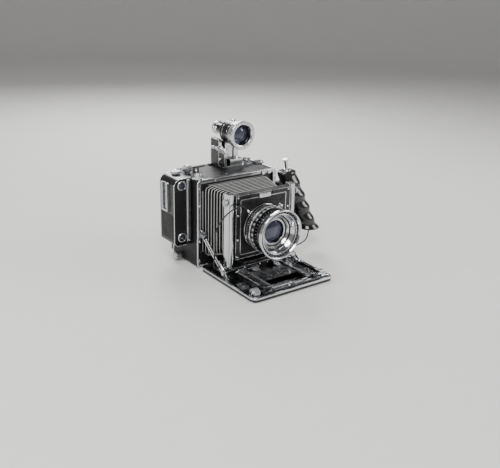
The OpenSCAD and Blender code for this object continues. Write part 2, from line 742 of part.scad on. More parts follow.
// A frame on four rods that slide in the body's walls, with two knuckles for the hood's lid
module back_frame() color("#1d1d1f") {
    difference() {
        block([-85, back_y, 8], [85, back_y + 9, 158]);
        block([-62, back_y - 1, 34], [62, back_y + 10, 132]);
    }
    for (x = [-1, 1], z = [20, 146]) bar_y(2.4, -10, back_y, x * (half_w - 3.75), z);
    for (x = lid_x) {
        bar_x(2.6, x + gap, x + 30 - gap, lid_y, lid_z);
        block([x + gap, back_y + 9, lid_z - 2], [x + 30 - gap, lid_y, lid_z + 2]);
    }
    bar_x(1.2, -58, 58, lid_y, lid_z);
}

// The ground focusing screen in the frame
module focus_screen() color([0.8, 0.84, 0.85, 0.8]) block([-62, back_y + 2, 34], [62, back_y + 4.5, 132]);

// The folded focusing hood's hinged lid
module hood_lid() color("#232325") difference() {
    union() {
        block([-66, back_y + 9 + gap, 30], [66, back_y + 15, 136]);
        bar_x(2.6, -60, 60, lid_y, lid_z);
    }
    block([-60, back_y + 9, 36], [60, back_y + 12, 130]);
    bar_x(1.2 + run, -61, 61, lid_y, lid_z);
    for (x = lid_x) block([x, back_y + 5, 135.2], [x + 30, back_y + 20, 142]);
}

body_shell();
front_trim();
rear_trim();
tripod_bush();
inner_track();
bellows_frame();
body_hinge();
rf_housing();
rf_trim();
rf_windows();
accessory_shoe();
strap_lugs();
body_fittings();
finder_foot();
finder_bracket();
finder_barrel();
finder_lens();
finder_eyepiece();
grip_bracket();
grip_body();
release_cable();
cable_ferrule();
bellows();
bed_plate();
bed_rim();
bed_guides();
scale_plate();
bed_pins();
strut_left();
strut_right();
pinion_shaft();
focus_knob_left();
focus_knob_right();
focus_lock();
carriage_rails();
carriage_plate();
standard_base();
standard_columns();
standard_clamps();
rise_knob();
rise_lock();
lens_frame();
lens_board();
board_latch();
shutter_body();
aperture_blades();
lens_barrel();
front_glass();
rear_barrel();
aperture_ring();
speed_ring();
cocking_lever();
finder_ring();
lock_knob_top();
lock_knob_side();
rf_wheel();
grip_plunger();
back_frame();
focus_screen();
hood_lid();
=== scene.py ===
"""Looks of the opened folding technical camera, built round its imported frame."""

import json
import logging
import math
from dataclasses import dataclass, field
from enum import Enum
from typing import Sequence

import bmesh
import bpy
from mathutils import Matrix, Vector

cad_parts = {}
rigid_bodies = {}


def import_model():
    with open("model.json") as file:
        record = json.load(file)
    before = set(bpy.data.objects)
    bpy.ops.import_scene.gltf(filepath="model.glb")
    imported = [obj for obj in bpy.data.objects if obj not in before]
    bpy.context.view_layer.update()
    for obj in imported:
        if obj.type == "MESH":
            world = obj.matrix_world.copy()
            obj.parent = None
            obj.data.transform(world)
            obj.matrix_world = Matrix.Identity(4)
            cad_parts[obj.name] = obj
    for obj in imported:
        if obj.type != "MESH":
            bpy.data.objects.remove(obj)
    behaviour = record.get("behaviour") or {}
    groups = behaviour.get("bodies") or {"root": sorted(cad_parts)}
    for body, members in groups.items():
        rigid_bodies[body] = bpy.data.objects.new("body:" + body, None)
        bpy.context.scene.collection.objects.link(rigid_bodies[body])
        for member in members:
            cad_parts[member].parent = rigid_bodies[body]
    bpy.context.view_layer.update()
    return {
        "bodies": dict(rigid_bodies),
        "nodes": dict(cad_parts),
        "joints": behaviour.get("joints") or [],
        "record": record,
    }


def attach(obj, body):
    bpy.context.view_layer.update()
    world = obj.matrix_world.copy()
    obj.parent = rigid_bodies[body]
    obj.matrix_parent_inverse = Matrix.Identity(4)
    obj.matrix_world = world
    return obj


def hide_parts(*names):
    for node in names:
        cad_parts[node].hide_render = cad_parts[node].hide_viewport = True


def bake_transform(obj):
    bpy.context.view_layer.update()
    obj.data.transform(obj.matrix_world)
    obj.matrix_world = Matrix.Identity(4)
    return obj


LOG = logging.getLogger("camera")
MM = 0.001
# Points of a made mesh, and of a CAD mesh, that lie closer than this are welded, in metres.
WELD, CAD_WELD = 1e-6, 2e-6
# A radius below this counts as none, in millimetres.
NO_RADIUS = 1e-6
# Flat faces of a CAD mesh that meet at less than this angle are one face.
FLAT = math.radians(0.8)
# Facets round a screw's head.
SCREW_SIDES = 20
Point = tuple[float, float, float]


# ---- colours and nodes ---------------------------------------------------------------------


def linear(code: str, alpha: float = 1.0) -> tuple[float, float, float, float]:
    """Turns an sRGB hex colour to linear.

    Args:
        code: six hex digits.
        alpha: opacity of the colour.

    Returns:
        Red, green, blue and alpha.
    """
    def channel(i: int) -> float:
        """Returns one linear channel."""
        c = int(code[i:i + 2], 16) / 255
        return c / 12.92 if c <= 0.04045 else ((c + 0.055) / 1.055) ** 2.4
    return (channel(0), channel(2), channel(4), alpha)


def add_node(tree: bpy.types.NodeTree, kind: str, links: dict | None = None,
             inputs: dict | None = None, **settings: object) -> bpy.types.Node:
    """Adds one node with its settings and links.

    Args:
        tree: the tree that gets the node.
        kind: the node's type name.
        links: input socket to the output socket that feeds it.
        inputs: input socket to its value.
        settings: the node's own properties.

    Returns:
        The new node.
    """
    node = tree.nodes.new(kind)
    for key, value in settings.items():
        setattr(node, key, value)
    for key, value in (inputs or {}).items():
        node.inputs[key].default_value = value
    for key, source in (links or {}).items():
        tree.links.new(source, node.inputs[key])
    return node


# ---- finishes ------------------------------------------------------------------------------


class Grain(Enum):
    """How a surface was made, and so what relief it has."""

    HIDE = "pebbled leather hide"
    PLATE = "polished plate with faint wipe marks"
    BRUSHED = "straight brushed grain"
    TURNED = "rings left by a lathe"
    LACQUER = "sprayed enamel"
    WRINKLE = "wrinkle enamel"
    MOULDED = "moulded plastic"
    WOVEN = "braided cover"
    CLEAR = "polished glass"
    GROUND = "ground glass"


@dataclass(frozen=True)
class Finish:
    """One real finish: its colours, its gloss and the size of its relief."""

    name: str
    base: str
    deep: str
    grain: Grain
    grain_mm: float
    depth_mm: float
    metallic: float = 0.0
    rough: float = 0.4
    rough_swing: float = 0.12
    ior: float = 1.5
    coat: float = 0.0
    centre: Point = (0.0, 0.0, 0.0)
    # Colour of the outer fold ridges: partly wear, partly a painted highlight.
    ridge_wear_and_highlight: str = ""
    shine: float = 0.5

    def pattern(self, tree: bpy.types.NodeTree) -> tuple[bpy.types.NodeSocket, bpy.types.NodeSocket]:
        """Builds the relief.

        Args:
            tree: the material's tree.

        Returns:
            The height socket and the socket of slow colour variation, both from 0 to 1.
        """
        place = add_node(tree, "ShaderNodeTexCoord").outputs["Object"]
        size = 1.0 / (self.grain_mm * MM)
        stretch = {Grain.BRUSHED: (0.02, 1.0, 1.0), Grain.PLATE: (0.08, 1.0, 1.0)}.get(self.grain,
                                                                                       (1.0, 1.0, 1.0))
        at = add_node(tree, "ShaderNodeMapping", {"Vector": place},
                      {"Location": tuple(-c * size * s for c, s in zip(self.centre, stretch)),
                       "Scale": tuple(size * s for s in stretch)}).outputs["Vector"]
        broad = add_node(tree, "ShaderNodeTexNoise", {"Vector": place},
                         {"Scale": 45.0, "Detail": 4.0, "Roughness": 0.6}).outputs["Fac"]
        if self.grain is Grain.HIDE:
            cells = add_node(tree, "ShaderNodeTexVoronoi", {"Vector": at},
                             {"Scale": 1.0, "Randomness": 0.9}, feature="SMOOTH_F1").outputs["Distance"]
            pores = add_node(tree, "ShaderNodeTexNoise", {"Vector": at},
                             {"Scale": 3.5, "Detail": 3.0}).outputs["Fac"]
            height = add_node(tree, "ShaderNodeMath", {0: pores, 2: cells}, {1: -0.35},
                              operation="MULTIPLY_ADD").outputs[0]
            return height, broad
        if self.grain is Grain.WRINKLE:
            folds = add_node(tree, "ShaderNodeTexNoise", {"Vector": at},
                             {"Scale": 1.0, "Detail": 2.0, "Distortion": 1.6}).outputs["Fac"]
            return folds, broad
        if self.grain is Grain.TURNED:
            rings = add_node(tree, "ShaderNodeTexWave", {"Vector": at},
                             {"Scale": 0.3, "Distortion": 0.0}, wave_type="RINGS",
                             rings_direction="Y").outputs["Fac"]
            return rings, broad
        if self.grain is Grain.WOVEN:
            braid = add_node(tree, "ShaderNodeTexChecker", {"Vector": at}, {"Scale": 1.0}).outputs["Fac"]
            return braid, broad
        detail = 2.0 if self.grain in (Grain.LACQUER, Grain.CLEAR, Grain.MOULDED) else 5.0
        height = add_node(tree, "ShaderNodeTexNoise", {"Vector": at},
                          {"Scale": 1.0, "Detail": detail}).outputs["Fac"]
        return height, broad

    def material(self) -> bpy.types.Material:
        """Returns the finish's material, made once."""
        known = bpy.data.materials.get(self.name)
        if known:
            return known
        made = bpy.data.materials.new(self.name)
        made.use_nodes = True
        tree = made.node_tree
        tree.nodes.clear()
        height, broad = self.pattern(tree)
        mix = add_node(tree, "ShaderNodeMixRGB", {"Fac": broad},
                       {"Color1": linear(self.base), "Color2": linear(self.deep)}).outputs["Color"]
        # Pale colour on the outer fold ridges: partly wear, partly a painted highlight.
        if self.ridge_wear_and_highlight:
            fold = add_node(tree, "ShaderNodeAttribute", attribute_name="fold").outputs["Fac"]
            wear_and_highlight_mask = add_node(tree, "ShaderNodeMapRange", {"Value": fold},
                           {"From Min": 0.05, "From Max": 0.18, "To Min": 1.0,
                            "To Max": 0.0}).outputs["Result"]
            mix = add_node(tree, "ShaderNodeMixRGB", {"Fac": wear_and_highlight_mask, "Color1": mix},
                           {"Color2": linear(self.ridge_wear_and_highlight)}).outputs["Color"]
        rough = add_node(tree, "ShaderNodeMapRange", {"Value": broad},
                         {"From Min": 0.3, "From Max": 0.7, "To Min": self.rough,
                          "To Max": self.rough + self.rough_swing}).outputs["Result"]
        bump = add_node(tree, "ShaderNodeBump", {"Height": height},
                        {"Strength": 1.0, "Distance": self.depth_mm * MM}).outputs["Normal"]
        shader = add_node(tree, "ShaderNodeBsdfPrincipled",
                          {"Base Color": mix, "Roughness": rough, "Normal": bump},
                          {"Metallic": self.metallic, "IOR": self.ior, "Coat Weight": self.coat,
                           "Coat Roughness": 0.08, "Specular IOR Level": self.shine})
        if self.grain is Grain.CLEAR:
            shader.inputs["Transmission Weight"].default_value = 0.92
            shader.inputs["Coat Weight"].default_value = 0.6
        if self.grain is Grain.GROUND:
            shader.inputs["Transmission Weight"].default_value = 0.35
        add_node(tree, "ShaderNodeOutputMaterial", {"Surface": shader.outputs["BSDF"]})
        return made


# Vulcanised calf covering: pebbles of about 1.3 mm with a soft sheen on their tops.
HIDE = Finish("black_pebbled_leather", "141415", "0C0C0D", Grain.HIDE, 1.3, 0.3, rough=0.44, rough_swing=0.16,
              shine=0.3)
# Bellows leather, thinner and drier than the covering, with a finer pebble; pale along its outer fold ridges,
# partly from wear and partly a painted highlight.
BELLOWS_HIDE = Finish("pleated_bellows_calf", "101011", "0A0A0B", Grain.HIDE, 0.9, 0.12, rough=0.5,
                      rough_swing=0.14,
                      ridge_wear_and_highlight="BDBDBB", shine=0.15)
# Bright chromium over polished brass: mirror-like, with long faint wipe marks.
CHROME = Finish("polished_chromium_plate", "D9DADC", "C6C8CB", Grain.PLATE, 0.6, 0.004, 1.0, 0.07, 0.1)
# Satin chromium on parts that are handled, blasted before plating.
SATIN = Finish("satin_chromium_plate", "C3C5C8", "AEB0B4", Grain.PLATE, 0.35, 0.012, 1.0, 0.22, 0.12)
# Milled aluminium with the cutter's straight grain along X.
MILLED = Finish("milled_aluminium", "C9CBCE", "A9ABAF", Grain.BRUSHED, 0.5, 0.02, 1.0, 0.24, 0.14)
# Stoved black enamel, sprayed and polished, with a slight orange peel.
ENAMEL = Finish("stoved_black_enamel", "0E0E0F", "080809", Grain.LACQUER, 1.6, 0.02, rough=0.22,
                rough_swing=0.14, coat=0.15)
# Wrinkle enamel of the plain inner plates, drawn at 0.8 mm so that it shows.
WRINKLE = Finish("black_wrinkle_enamel", "19191A", "101011", Grain.WRINKLE, 0.8, 0.1, rough=0.38,
                 rough_swing=0.14)
# Matt black anodised aluminium inside the lens, with lathe rings 0.5 mm apart.
ANODISED = Finish("black_anodised_aluminium", "131314", "0B0B0C", Grain.TURNED, 0.5, 0.03, 0.3, 0.34, 0.1,
                  centre=(0.0, 0.0, 0.0896))
# Turned bright rings of the lens, whose lathe rings are 0.4 mm apart.
TURNED = Finish("turned_bright_aluminium", "CFD0D3", "B4B6BA", Grain.TURNED, 0.4, 0.01, 1.0, 0.14, 0.1,
                centre=(0.0, 0.0, 0.0896))
# Compression-moulded handle: hard, glossy, with a shallow flow pattern.
MOULDED = Finish("moulded_black_phenolic", "121213", "0A0A0B", Grain.MOULDED, 3.0, 0.04, rough=0.16,
                 rough_swing=0.12,
                 ior=1.6, coat=0.3)
# Turned brass insert.
BRASS = Finish("turned_brass", "C9A25A", "A98447", Grain.TURNED, 0.4, 0.01, 1.0, 0.2, 0.1)
# Coated crown glass: clear, with the faint blue of its single coating.
GLASS = Finish("coated_crown_glass", "7C8DB4", "86799F", Grain.CLEAR, 40.0, 0.0005, rough=0.01,
               rough_swing=0.01, ior=1.52)
# Ground glass of the focusing screen.
SCREEN = Finish("ground_glass", "D5DAD9", "C7CDCC", Grain.GROUND, 0.2, 0.01, rough=0.55, rough_swing=0.1)
# Blued spring steel of the iris leaves.
BLUED = Finish("blued_spring_steel", "2B2D33", "1D1E22", Grain.BRUSHED, 0.6, 0.008, 1.0, 0.3, 0.12)
# White fill of engraved scales.
FILLED = Finish("white_engraving_fill", "E9E8E2", "DBDAD2", Grain.LACQUER, 1.0, 0.01, rough=0.5,
                rough_swing=0.1)
# Braided rayon over the release cable's coil, drawn at 0.8 mm a strand.
BRAID = Finish("braided_cable_cover", "2A2A2C", "19191A", Grain.WOVEN, 0.8, 0.06, rough=0.6, rough_swing=0.15)
# Seamless studio paper, matt.
PAPER = Finish("seamless_paper", "D8D7D4", "D4D3D0", Grain.LACQUER, 2.0, 0.01, rough=0.85, rough_swing=0.05)
# Optical blacking inside the housing, matt.
BLACKING = Finish("optical_blacking", "070708", "050506", Grain.LACQUER, 0.8, 0.03, rough=0.75,
                  rough_swing=0.1)


# ---- mesh making ---------------------------------------------------------------------------


class Part:
    """Helpers that make a mesh object at the origin and finish it."""

    @staticmethod
    def from_bmesh(name: str, shape: bmesh.types.BMesh, finish: Finish,
                   smooth_deg: float = 35.0) -> bpy.types.Object:
        """Turns a bmesh into an object with outward faces.

        Args:
            name: the object's name.
            shape: the geometry, freed here.
            finish: its finish.
            smooth_deg: edges flatter than this are shaded smooth.

        Returns:
            The new object, linked to the scene.
        """
        bmesh.ops.remove_doubles(shape, verts=shape.verts, dist=WELD)
        bmesh.ops.recalc_face_normals(shape, faces=shape.faces)
        mesh = bpy.data.meshes.new(name)
        limit = math.radians(smooth_deg)
        for face in shape.faces:
            face.smooth = True
        for edge in shape.edges:
            edge.smooth = len(edge.link_faces) == 2 and edge.calc_face_angle(0.0) < limit
        shape.to_mesh(mesh)
        shape.free()
        mesh.materials.append(finish.material())
        made = bpy.data.objects.new(name, mesh)
        bpy.context.scene.collection.objects.link(made)
        return made

    @staticmethod
    def bake(obj: bpy.types.Object) -> bpy.types.Object:
        """Applies an object's modifiers and drops them.

        Args:
            obj: the object.

        Returns:
            The same object, with its final mesh.
        """
        bpy.context.view_layer.update()
        graph = bpy.context.evaluated_depsgraph_get()
        mesh = bpy.data.meshes.new_from_object(obj.evaluated_get(graph), preserve_all_data_layers=True,
                                               depsgraph=graph)
        obj.modifiers.clear()
        obj.data = mesh
        return obj

    @staticmethod
    def bevelled(obj: bpy.types.Object, width_mm: float, segments: int = 2,
                 angle: float = 32.0) -> bpy.types.Object:
        """Rounds an object's sharp edges.

        Args:
            obj: the object.
            width_mm: width of the rounded edge.
            segments: steps across it.
            angle: edges sharper than this, in degrees, are rounded.

        Returns:
            The same object, baked.
        """
        step = obj.modifiers.new("edges", "BEVEL")
        step.width = width_mm * MM
        step.segments = segments
        step.limit_method = "ANGLE"
        step.angle_limit = math.radians(angle)
        step.use_clamp_overlap = True
        step.harden_normals = True
        return Part.bake(obj)

    @staticmethod
    def lathe(name: str, profile: Sequence[tuple[float, float]], centre: Point, finish: Finish,
              axis: str = "Y", steps: int = 96, soften_mm: float = 0.3) -> bpy.types.Object:
        """Turns a closed outline about an axis.

        Args:
            name: the object's name.
            profile: corners as (place along the axis, radius) in millimetres.
            centre: a point on the axis, in millimetres.
            finish: the finish.
            axis: the axis, X, Y or Z.
            steps: facets round the turn.
            soften_mm: radius of its rounded corners.

        Returns:
            The turned piece.
        """
        line = Part.softened(profile, soften_mm)
        shape = bmesh.new()
        rings = []
        for i in range(steps):
            a = math.tau * i / steps
            ring = []
            for along, r in line:
                u, v = r * math.cos(a), r * math.sin(a)
                spot = {"Y": (u, along, v), "X": (along, u, v), "Z": (u, v, along)}[axis]
                ring.append(shape.verts.new([(p + c) * MM for p, c in zip(spot, centre)]))
            rings.append(ring)
        count = len(line)
        for i in range(steps):
            near, far = rings[i], rings[(i + 1) % steps]
            for k in range(count):
                n = (k + 1) % count
                if line[k][1] < NO_RADIUS and line[n][1] < NO_RADIUS:
                    continue
                shape.faces.new((near[k], near[n], far[n], far[k]))
        bmesh.ops.remove_doubles(shape, verts=shape.verts, dist=1e-7)
        bmesh.ops.dissolve_degenerate(shape, edges=shape.edges, dist=1e-8)
        return Part.from_bmesh(name, shape, finish)

    @staticmethod
    def softened(profile: Sequence[tuple[float, float]], radius: float) -> list[tuple[float, float]]:
        """Rounds the corners of a closed outline, apart from those on its axis.

        Args:
            profile: the corners.
            radius: the rounding's size.

        Returns:
            The rounded outline.
        """
        result: list[tuple[float, float]] = []
        count = len(profile)
        for i in range(count):
            p, a, b = Vector(profile[i]), Vector(profile[i - 1]), Vector(profile[(i + 1) % count])
            if profile[i][1] < NO_RADIUS or radius <= 0:
                result.append(tuple(p))
                continue
            cut = min(radius, (a - p).length * 0.4, (b - p).length * 0.4)
            start, end = p + (a - p).normalized() * cut, p + (b - p).normalized() * cut
            for t in (0.0, 0.35, 0.65, 1.0):
                result.append(tuple((1 - t) ** 2 * start + 2 * t * (1 - t) * p + t * t * end))
        return result

    @staticmethod
    def rim(name: str, half: tuple[float, float], radius: float, centre: Point,
            profile: Sequence[tuple[float, float]], finish: Finish, axis: str = "Y") -> bpy.types.Object:
        """Sweeps a profile round a rectangle with round corners.

        Args:
            name: the object's name.
            half: half sizes of the rectangle in millimetres.
            radius: its corner radius.
            centre: its centre.
            profile: closed outline of (distance inwards, place along the axis).
            finish: the finish.
            axis: Y for an upright frame, Z for a flat one.

        Returns:
            The swept frame.
        """
        shape = bmesh.new()
        rings = []
        corner_steps = 10
        for inset, along in profile:
            r = max(radius - inset, 0.4)
            ring = []
            for quarter in range(4):
                sx, sy = ((1, 1), (-1, 1), (-1, -1), (1, -1))[quarter]
                cx, cy = sx * (half[0] - inset - r), sy * (half[1] - inset - r)
                for k in range(corner_steps + 1):
                    a = math.radians(90 * quarter + 90 * k / corner_steps)
                    u, v = cx + r * math.cos(a), cy + r * math.sin(a)
                    spot = (u, along, v) if axis == "Y" else (u, v, along)
                    ring.append(shape.verts.new([(p + c) * MM for p, c in zip(spot, centre)]))
            rings.append(ring)
        count = len(rings[0])
        for i, ring in enumerate(rings):
            other = rings[(i + 1) % len(rings)]
            for k in range(count):
                n = (k + 1) % count
                shape.faces.new((ring[k], ring[n], other[n], other[k]))
        return Part.from_bmesh(name, shape, finish)

    @staticmethod
    def slab(name: str, low: Point, high: Point, finish: Finish, edge_mm: float = 0.5) -> bpy.types.Object:
        """Makes a block with rounded edges from its lowest to its highest corner, in millimetres."""
        shape = bmesh.new()
        bmesh.ops.create_cube(shape, size=1.0)
        for vert in shape.verts:
            vert.co = [((a + b) / 2 + c * (b - a)) * MM for a, b, c in zip(low, high, vert.co)]
        return Part.bevelled(Part.from_bmesh(name, shape, finish), edge_mm, 3)

    @staticmethod
    def tube(name: str, path: Sequence[Vector], radius_mm: float, finish: Finish,
             sides: int = 12) -> bpy.types.Object:
        """Sweeps a round tube with capped ends along points given in metres.

        Args:
            name: the object's name.
            path: the points.
            radius_mm: the tube's radius.
            finish: the finish.
            sides: facets round it.

        Returns:
            The tube.
        """
        shape = bmesh.new()
        side = Vector((0, 0, 1)).cross(path[1] - path[0])
        side = side.normalized() if side.length > 1e-9 else Vector((1, 0, 0))
        rings = []
        for i, spot in enumerate(path):
            ahead = (path[min(i + 1, len(path) - 1)] - path[max(i - 1, 0)]).normalized()
            side = (side - side.dot(ahead) * ahead).normalized()
            up = ahead.cross(side)
            angles = [math.tau * k / sides for k in range(sides)]
            rings.append([shape.verts.new(spot + radius_mm * MM * (math.cos(a) * side + math.sin(a) * up))
                          for a in angles])
        for near, far in zip(rings, rings[1:]):
            for k in range(sides):
                n = (k + 1) % sides
                shape.faces.new((near[k], near[n], far[n], far[k]))
        shape.faces.new(rings[0])
        shape.faces.new(rings[-1])
        return Part.from_bmesh(name, shape, finish)

    @staticmethod
    def join(name: str, parts: Sequence[bpy.types.Object]) -> bpy.types.Object:
        """Joins objects into the first one and renames it.

        Args:
            name: the joined object's name.
            parts: the objects.

        Returns:
            The first object.
        """
        with bpy.context.temp_override(active_object=parts[0], selected_editable_objects=list(parts),
                                       object=parts[0], selected_objects=list(parts)):
            bpy.ops.object.join()
        parts[0].name = name
        parts[0].data.name = name
        return parts[0]


# ---- trees that repeat a part --------------------------------------------------------------


class Repeater:
    """Geometry node trees that repeat a small part along a row, round a ring or at given points."""

    @staticmethod
    def socket(tree: bpy.types.NodeTree, name: str, kind: str) -> None:
        """Adds a named input to a tree."""
        tree.interface.new_socket(name, in_out="INPUT", socket_type=kind)

    @staticmethod
    def repeat(tree: bpy.types.NodeTree, given: bpy.types.bpy_prop_collection, points: bpy.types.NodeSocket,
               turn: bpy.types.NodeSocket) -> None:
        """Sets a part on points, each turned by more than the last, and ends the tree.

        Args:
            tree: the tree.
            given: the outputs of its input node.
            points: the points.
            turn: the turn from one to the next.
        """
        index = add_node(tree, "GeometryNodeInputIndex").outputs["Index"]
        angle = add_node(tree, "ShaderNodeMath", {0: index, 1: turn}, operation="MULTIPLY").outputs[0]
        angles = add_node(tree, "ShaderNodeCombineXYZ", {"Z": angle}).outputs["Vector"]
        part = add_node(tree, "GeometryNodeObjectInfo", {"Object": given["Part"]}).outputs["Geometry"]
        copies = add_node(tree, "GeometryNodeInstanceOnPoints",
                          {"Points": points, "Instance": part, "Rotation": angles})
        solid = add_node(tree, "GeometryNodeRealizeInstances", {"Geometry": copies.outputs["Instances"]})
        dressed = add_node(tree, "GeometryNodeSetMaterial",
                           {"Geometry": solid.outputs["Geometry"], "Material": given["Finish"]})
        add_node(tree, "NodeGroupOutput", {"Geometry": dressed.outputs["Geometry"]})

    @classmethod
    def tree(cls) -> bpy.types.NodeTree:
        """Returns the tree that repeats a part by a shift and a turn, made once."""
        known = bpy.data.node_groups.get("repeat_part")
        if known:
            return known
        tree = bpy.data.node_groups.new("repeat_part", "GeometryNodeTree")
        for name, kind in (("Part", "NodeSocketObject"), ("Count", "NodeSocketInt"),
                           ("Shift", "NodeSocketVector"),
                           ("Turn", "NodeSocketFloat"), ("Finish", "NodeSocketMaterial")):
            cls.socket(tree, name, kind)
        tree.interface.new_socket("Geometry", in_out="OUTPUT", socket_type="NodeSocketGeometry")
        given = add_node(tree, "NodeGroupInput").outputs
        row = add_node(tree, "GeometryNodeMeshLine", {"Count": given["Count"], "Offset": given["Shift"]},
                       mode="OFFSET")
        cls.repeat(tree, given, row.outputs["Mesh"], given["Turn"])
        return tree

    @classmethod
    def spot_tree(cls) -> bpy.types.NodeTree:
        """Returns the tree that sets a part at each point of a mesh, made once."""
        known = bpy.data.node_groups.get("part_at_points")
        if known:
            return known
        tree = bpy.data.node_groups.new("part_at_points", "GeometryNodeTree")
        for name, kind in (("Geometry", "NodeSocketGeometry"), ("Part", "NodeSocketObject"),
                           ("Spin", "NodeSocketFloat"), ("Finish", "NodeSocketMaterial")):
            cls.socket(tree, name, kind)
        tree.interface.new_socket("Geometry", in_out="OUTPUT", socket_type="NodeSocketGeometry")
        given = add_node(tree, "NodeGroupInput").outputs
        cls.repeat(tree, given, given["Geometry"], given["Spin"])
        return tree

    @staticmethod
    def run(name: str, tree: bpy.types.NodeTree, mesh: bpy.types.Mesh, values: dict[str, object],
            place: Matrix, finish: Finish) -> bpy.types.Object:
        """Runs a tree on a mesh and keeps the result as a plain mesh.

        Args:
            name: the new object's name.
            tree: the geometry node tree.
            mesh: what it starts from.
            values: its named inputs.
            place: where the result goes.
            finish: its finish.

        Returns:
            The baked object at the origin.
        """
        obj = bpy.data.objects.new(name, mesh)
        bpy.context.scene.collection.objects.link(obj)
        step = obj.modifiers.new("repeat", "NODES")
        step.node_group = tree
        sockets = {s.name: s.identifier for s in tree.interface.items_tree if s.in_out == "INPUT"}
        for key, value in values.items():
            step[sockets[key]] = value
        Part.bake(obj)
        obj.data.transform(place)
        obj.data.name = name
        if not obj.data.materials:
            obj.data.materials.append(finish.material())
        return obj

    @classmethod
    def row(cls, name: str, part: bpy.types.Object, count: int, finish: Finish,
            shift: Point = (0.0, 0.0, 0.0),
            turn: float = 0.0, place: Matrix | None = None) -> bpy.types.Object:
        """Repeats a part by a shift in millimetres and a turn in degrees about Z, then sets it in place.

        Args:
            name: the result's name.
            part: the small part, removed afterwards.
            count: how many.
            finish: the finish.
            shift: step along X, Y and Z.
            turn: step about Z.
            place: matrix that sets the whole row in place.

        Returns:
            The row as one mesh.
        """
        values = {"Part": part, "Count": count, "Shift": [s * MM for s in shift], "Turn": math.radians(turn),
                  "Finish": finish.material()}
        made = cls.run(name, cls.tree(), bpy.data.meshes.new(name), values, place or Matrix.Identity(4),
                       finish)
        bpy.data.objects.remove(part)
        return made

    @classmethod
    def at(cls, name: str, part: bpy.types.Object, spots: Sequence[Point], finish: Finish, spin: float = 0.0,
           place: Matrix | None = None) -> bpy.types.Object:
        """Sets a part at points in millimetres, each turned by spin degrees more than the last.

        Args:
            name: the result's name.
            part: the small part, removed afterwards.
            spots: the points, in the part's own frame.
            finish: the finish.
            spin: turn about Z from one to the next.
            place: matrix that sets the whole group in place.

        Returns:
            The group as one mesh.
        """
        mesh = bpy.data.meshes.new(name)
        mesh.from_pydata([[c * MM for c in s] for s in spots], [], [])
        values = {"Part": part, "Spin": math.radians(spin), "Finish": finish.material()}
        made = cls.run(name, cls.spot_tree(), mesh, values, place or Matrix.Identity(4), finish)
        bpy.data.objects.remove(part)
        return made


def facing(axis: str, spot: Point = (0.0, 0.0, 0.0)) -> Matrix:
    """Returns the matrix that turns +Z to an axis such as "-Y" and moves it to a spot in millimetres."""
    way = {"X": (1, 0, 0), "Y": (0, 1, 0), "Z": (0, 0, 1)}[axis[-1]]
    aim = Vector(way) * (-1 if axis[0] == "-" else 1)
    turn = Vector((0, 0, 1)).rotation_difference(aim).to_matrix().to_4x4()
    return Matrix.Translation([c * MM for c in spot]) @ turn


def slotted_screw(radius: float, height: float) -> bpy.types.Object:
    """Makes one domed screw with a slot, standing on the origin.

    Args:
        radius: the head's radius in millimetres.
        height: the head's height at its edge in millimetres.

    Returns:
        The screw.
    """
    shape = bmesh.new()
    rings = []
    for r, z in ((radius, 0.0), (radius, height * 0.55), (radius * 0.86, height),
                 (radius * 0.3, height * 1.12)):
        angles = [math.tau * k / SCREW_SIDES for k in range(SCREW_SIDES)]
        rings.append([shape.verts.new((r * MM * math.cos(a), r * MM * math.sin(a), z * MM)) for a in angles])
    for near, far in zip(rings, rings[1:]):
        for k in range(SCREW_SIDES):
            n = (k + 1) % SCREW_SIDES
            shape.faces.new((near[k], near[n], far[n], far[k]))
    shape.faces.new(rings[0])
    shape.faces.new(rings[-1])
    screw = Part.from_bmesh("screw", shape, CHROME)
    cutter = Part.slab("slot", (-radius * 1.3, -radius * 0.13, height * 0.55),
                       (radius * 1.3, radius * 0.13, height * 2), CHROME, 0.01)
    step = screw.modifiers.new("slot", "BOOLEAN")
    step.operation = "DIFFERENCE"
    step.object = cutter
    Part.bake(screw)
    bpy.data.objects.remove(cutter)
    return screw


def refined(node: str, finish: Finish, edge_mm: float = 0.35) -> bpy.types.Object:
    """Makes a copy of a frame node with rounded edges, which stands for that node.

    Args:
        node: the node's name.
        finish: the finish.
        edge_mm: width of the rounded edges.

    Returns:
        The new piece, riding on the node's body.
    """
    source = FRAME["nodes"][node]
    shape = bmesh.new()
    shape.from_mesh(source.data)
    shape.transform(source.matrix_world)
    bmesh.ops.remove_doubles(shape, verts=shape.verts, dist=CAD_WELD)
    bmesh.ops.dissolve_limit(shape, angle_limit=FLAT, verts=shape.verts, edges=shape.edges,
                             delimit={"NORMAL"})
    piece = Part.from_bmesh(node + "_made", shape, finish)
    if edge_mm > 0:
        Part.bevelled(piece, edge_mm)
    ride(piece, BODY_OF[node], node)
    return piece


def ride(piece: bpy.types.Object, body: str, *nodes: str, slot: str = "") -> bpy.types.Object:
    """Makes a piece ride on a body and stand for frame nodes.

    Args:
        piece: the piece.
        body: the body's name.
        nodes: nodes that it stands for.
        slot: not used.

    Returns:
        The piece.
    """
    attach(piece, body)
    if nodes:
        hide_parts(*nodes)
    LOG.info("%s rides on %s", piece.name, body)
    return piece


FRAME: dict = {}
BODY_OF: dict[str, str] = {}


# ---- sub-assemblies ------------------------------------------------------------------------


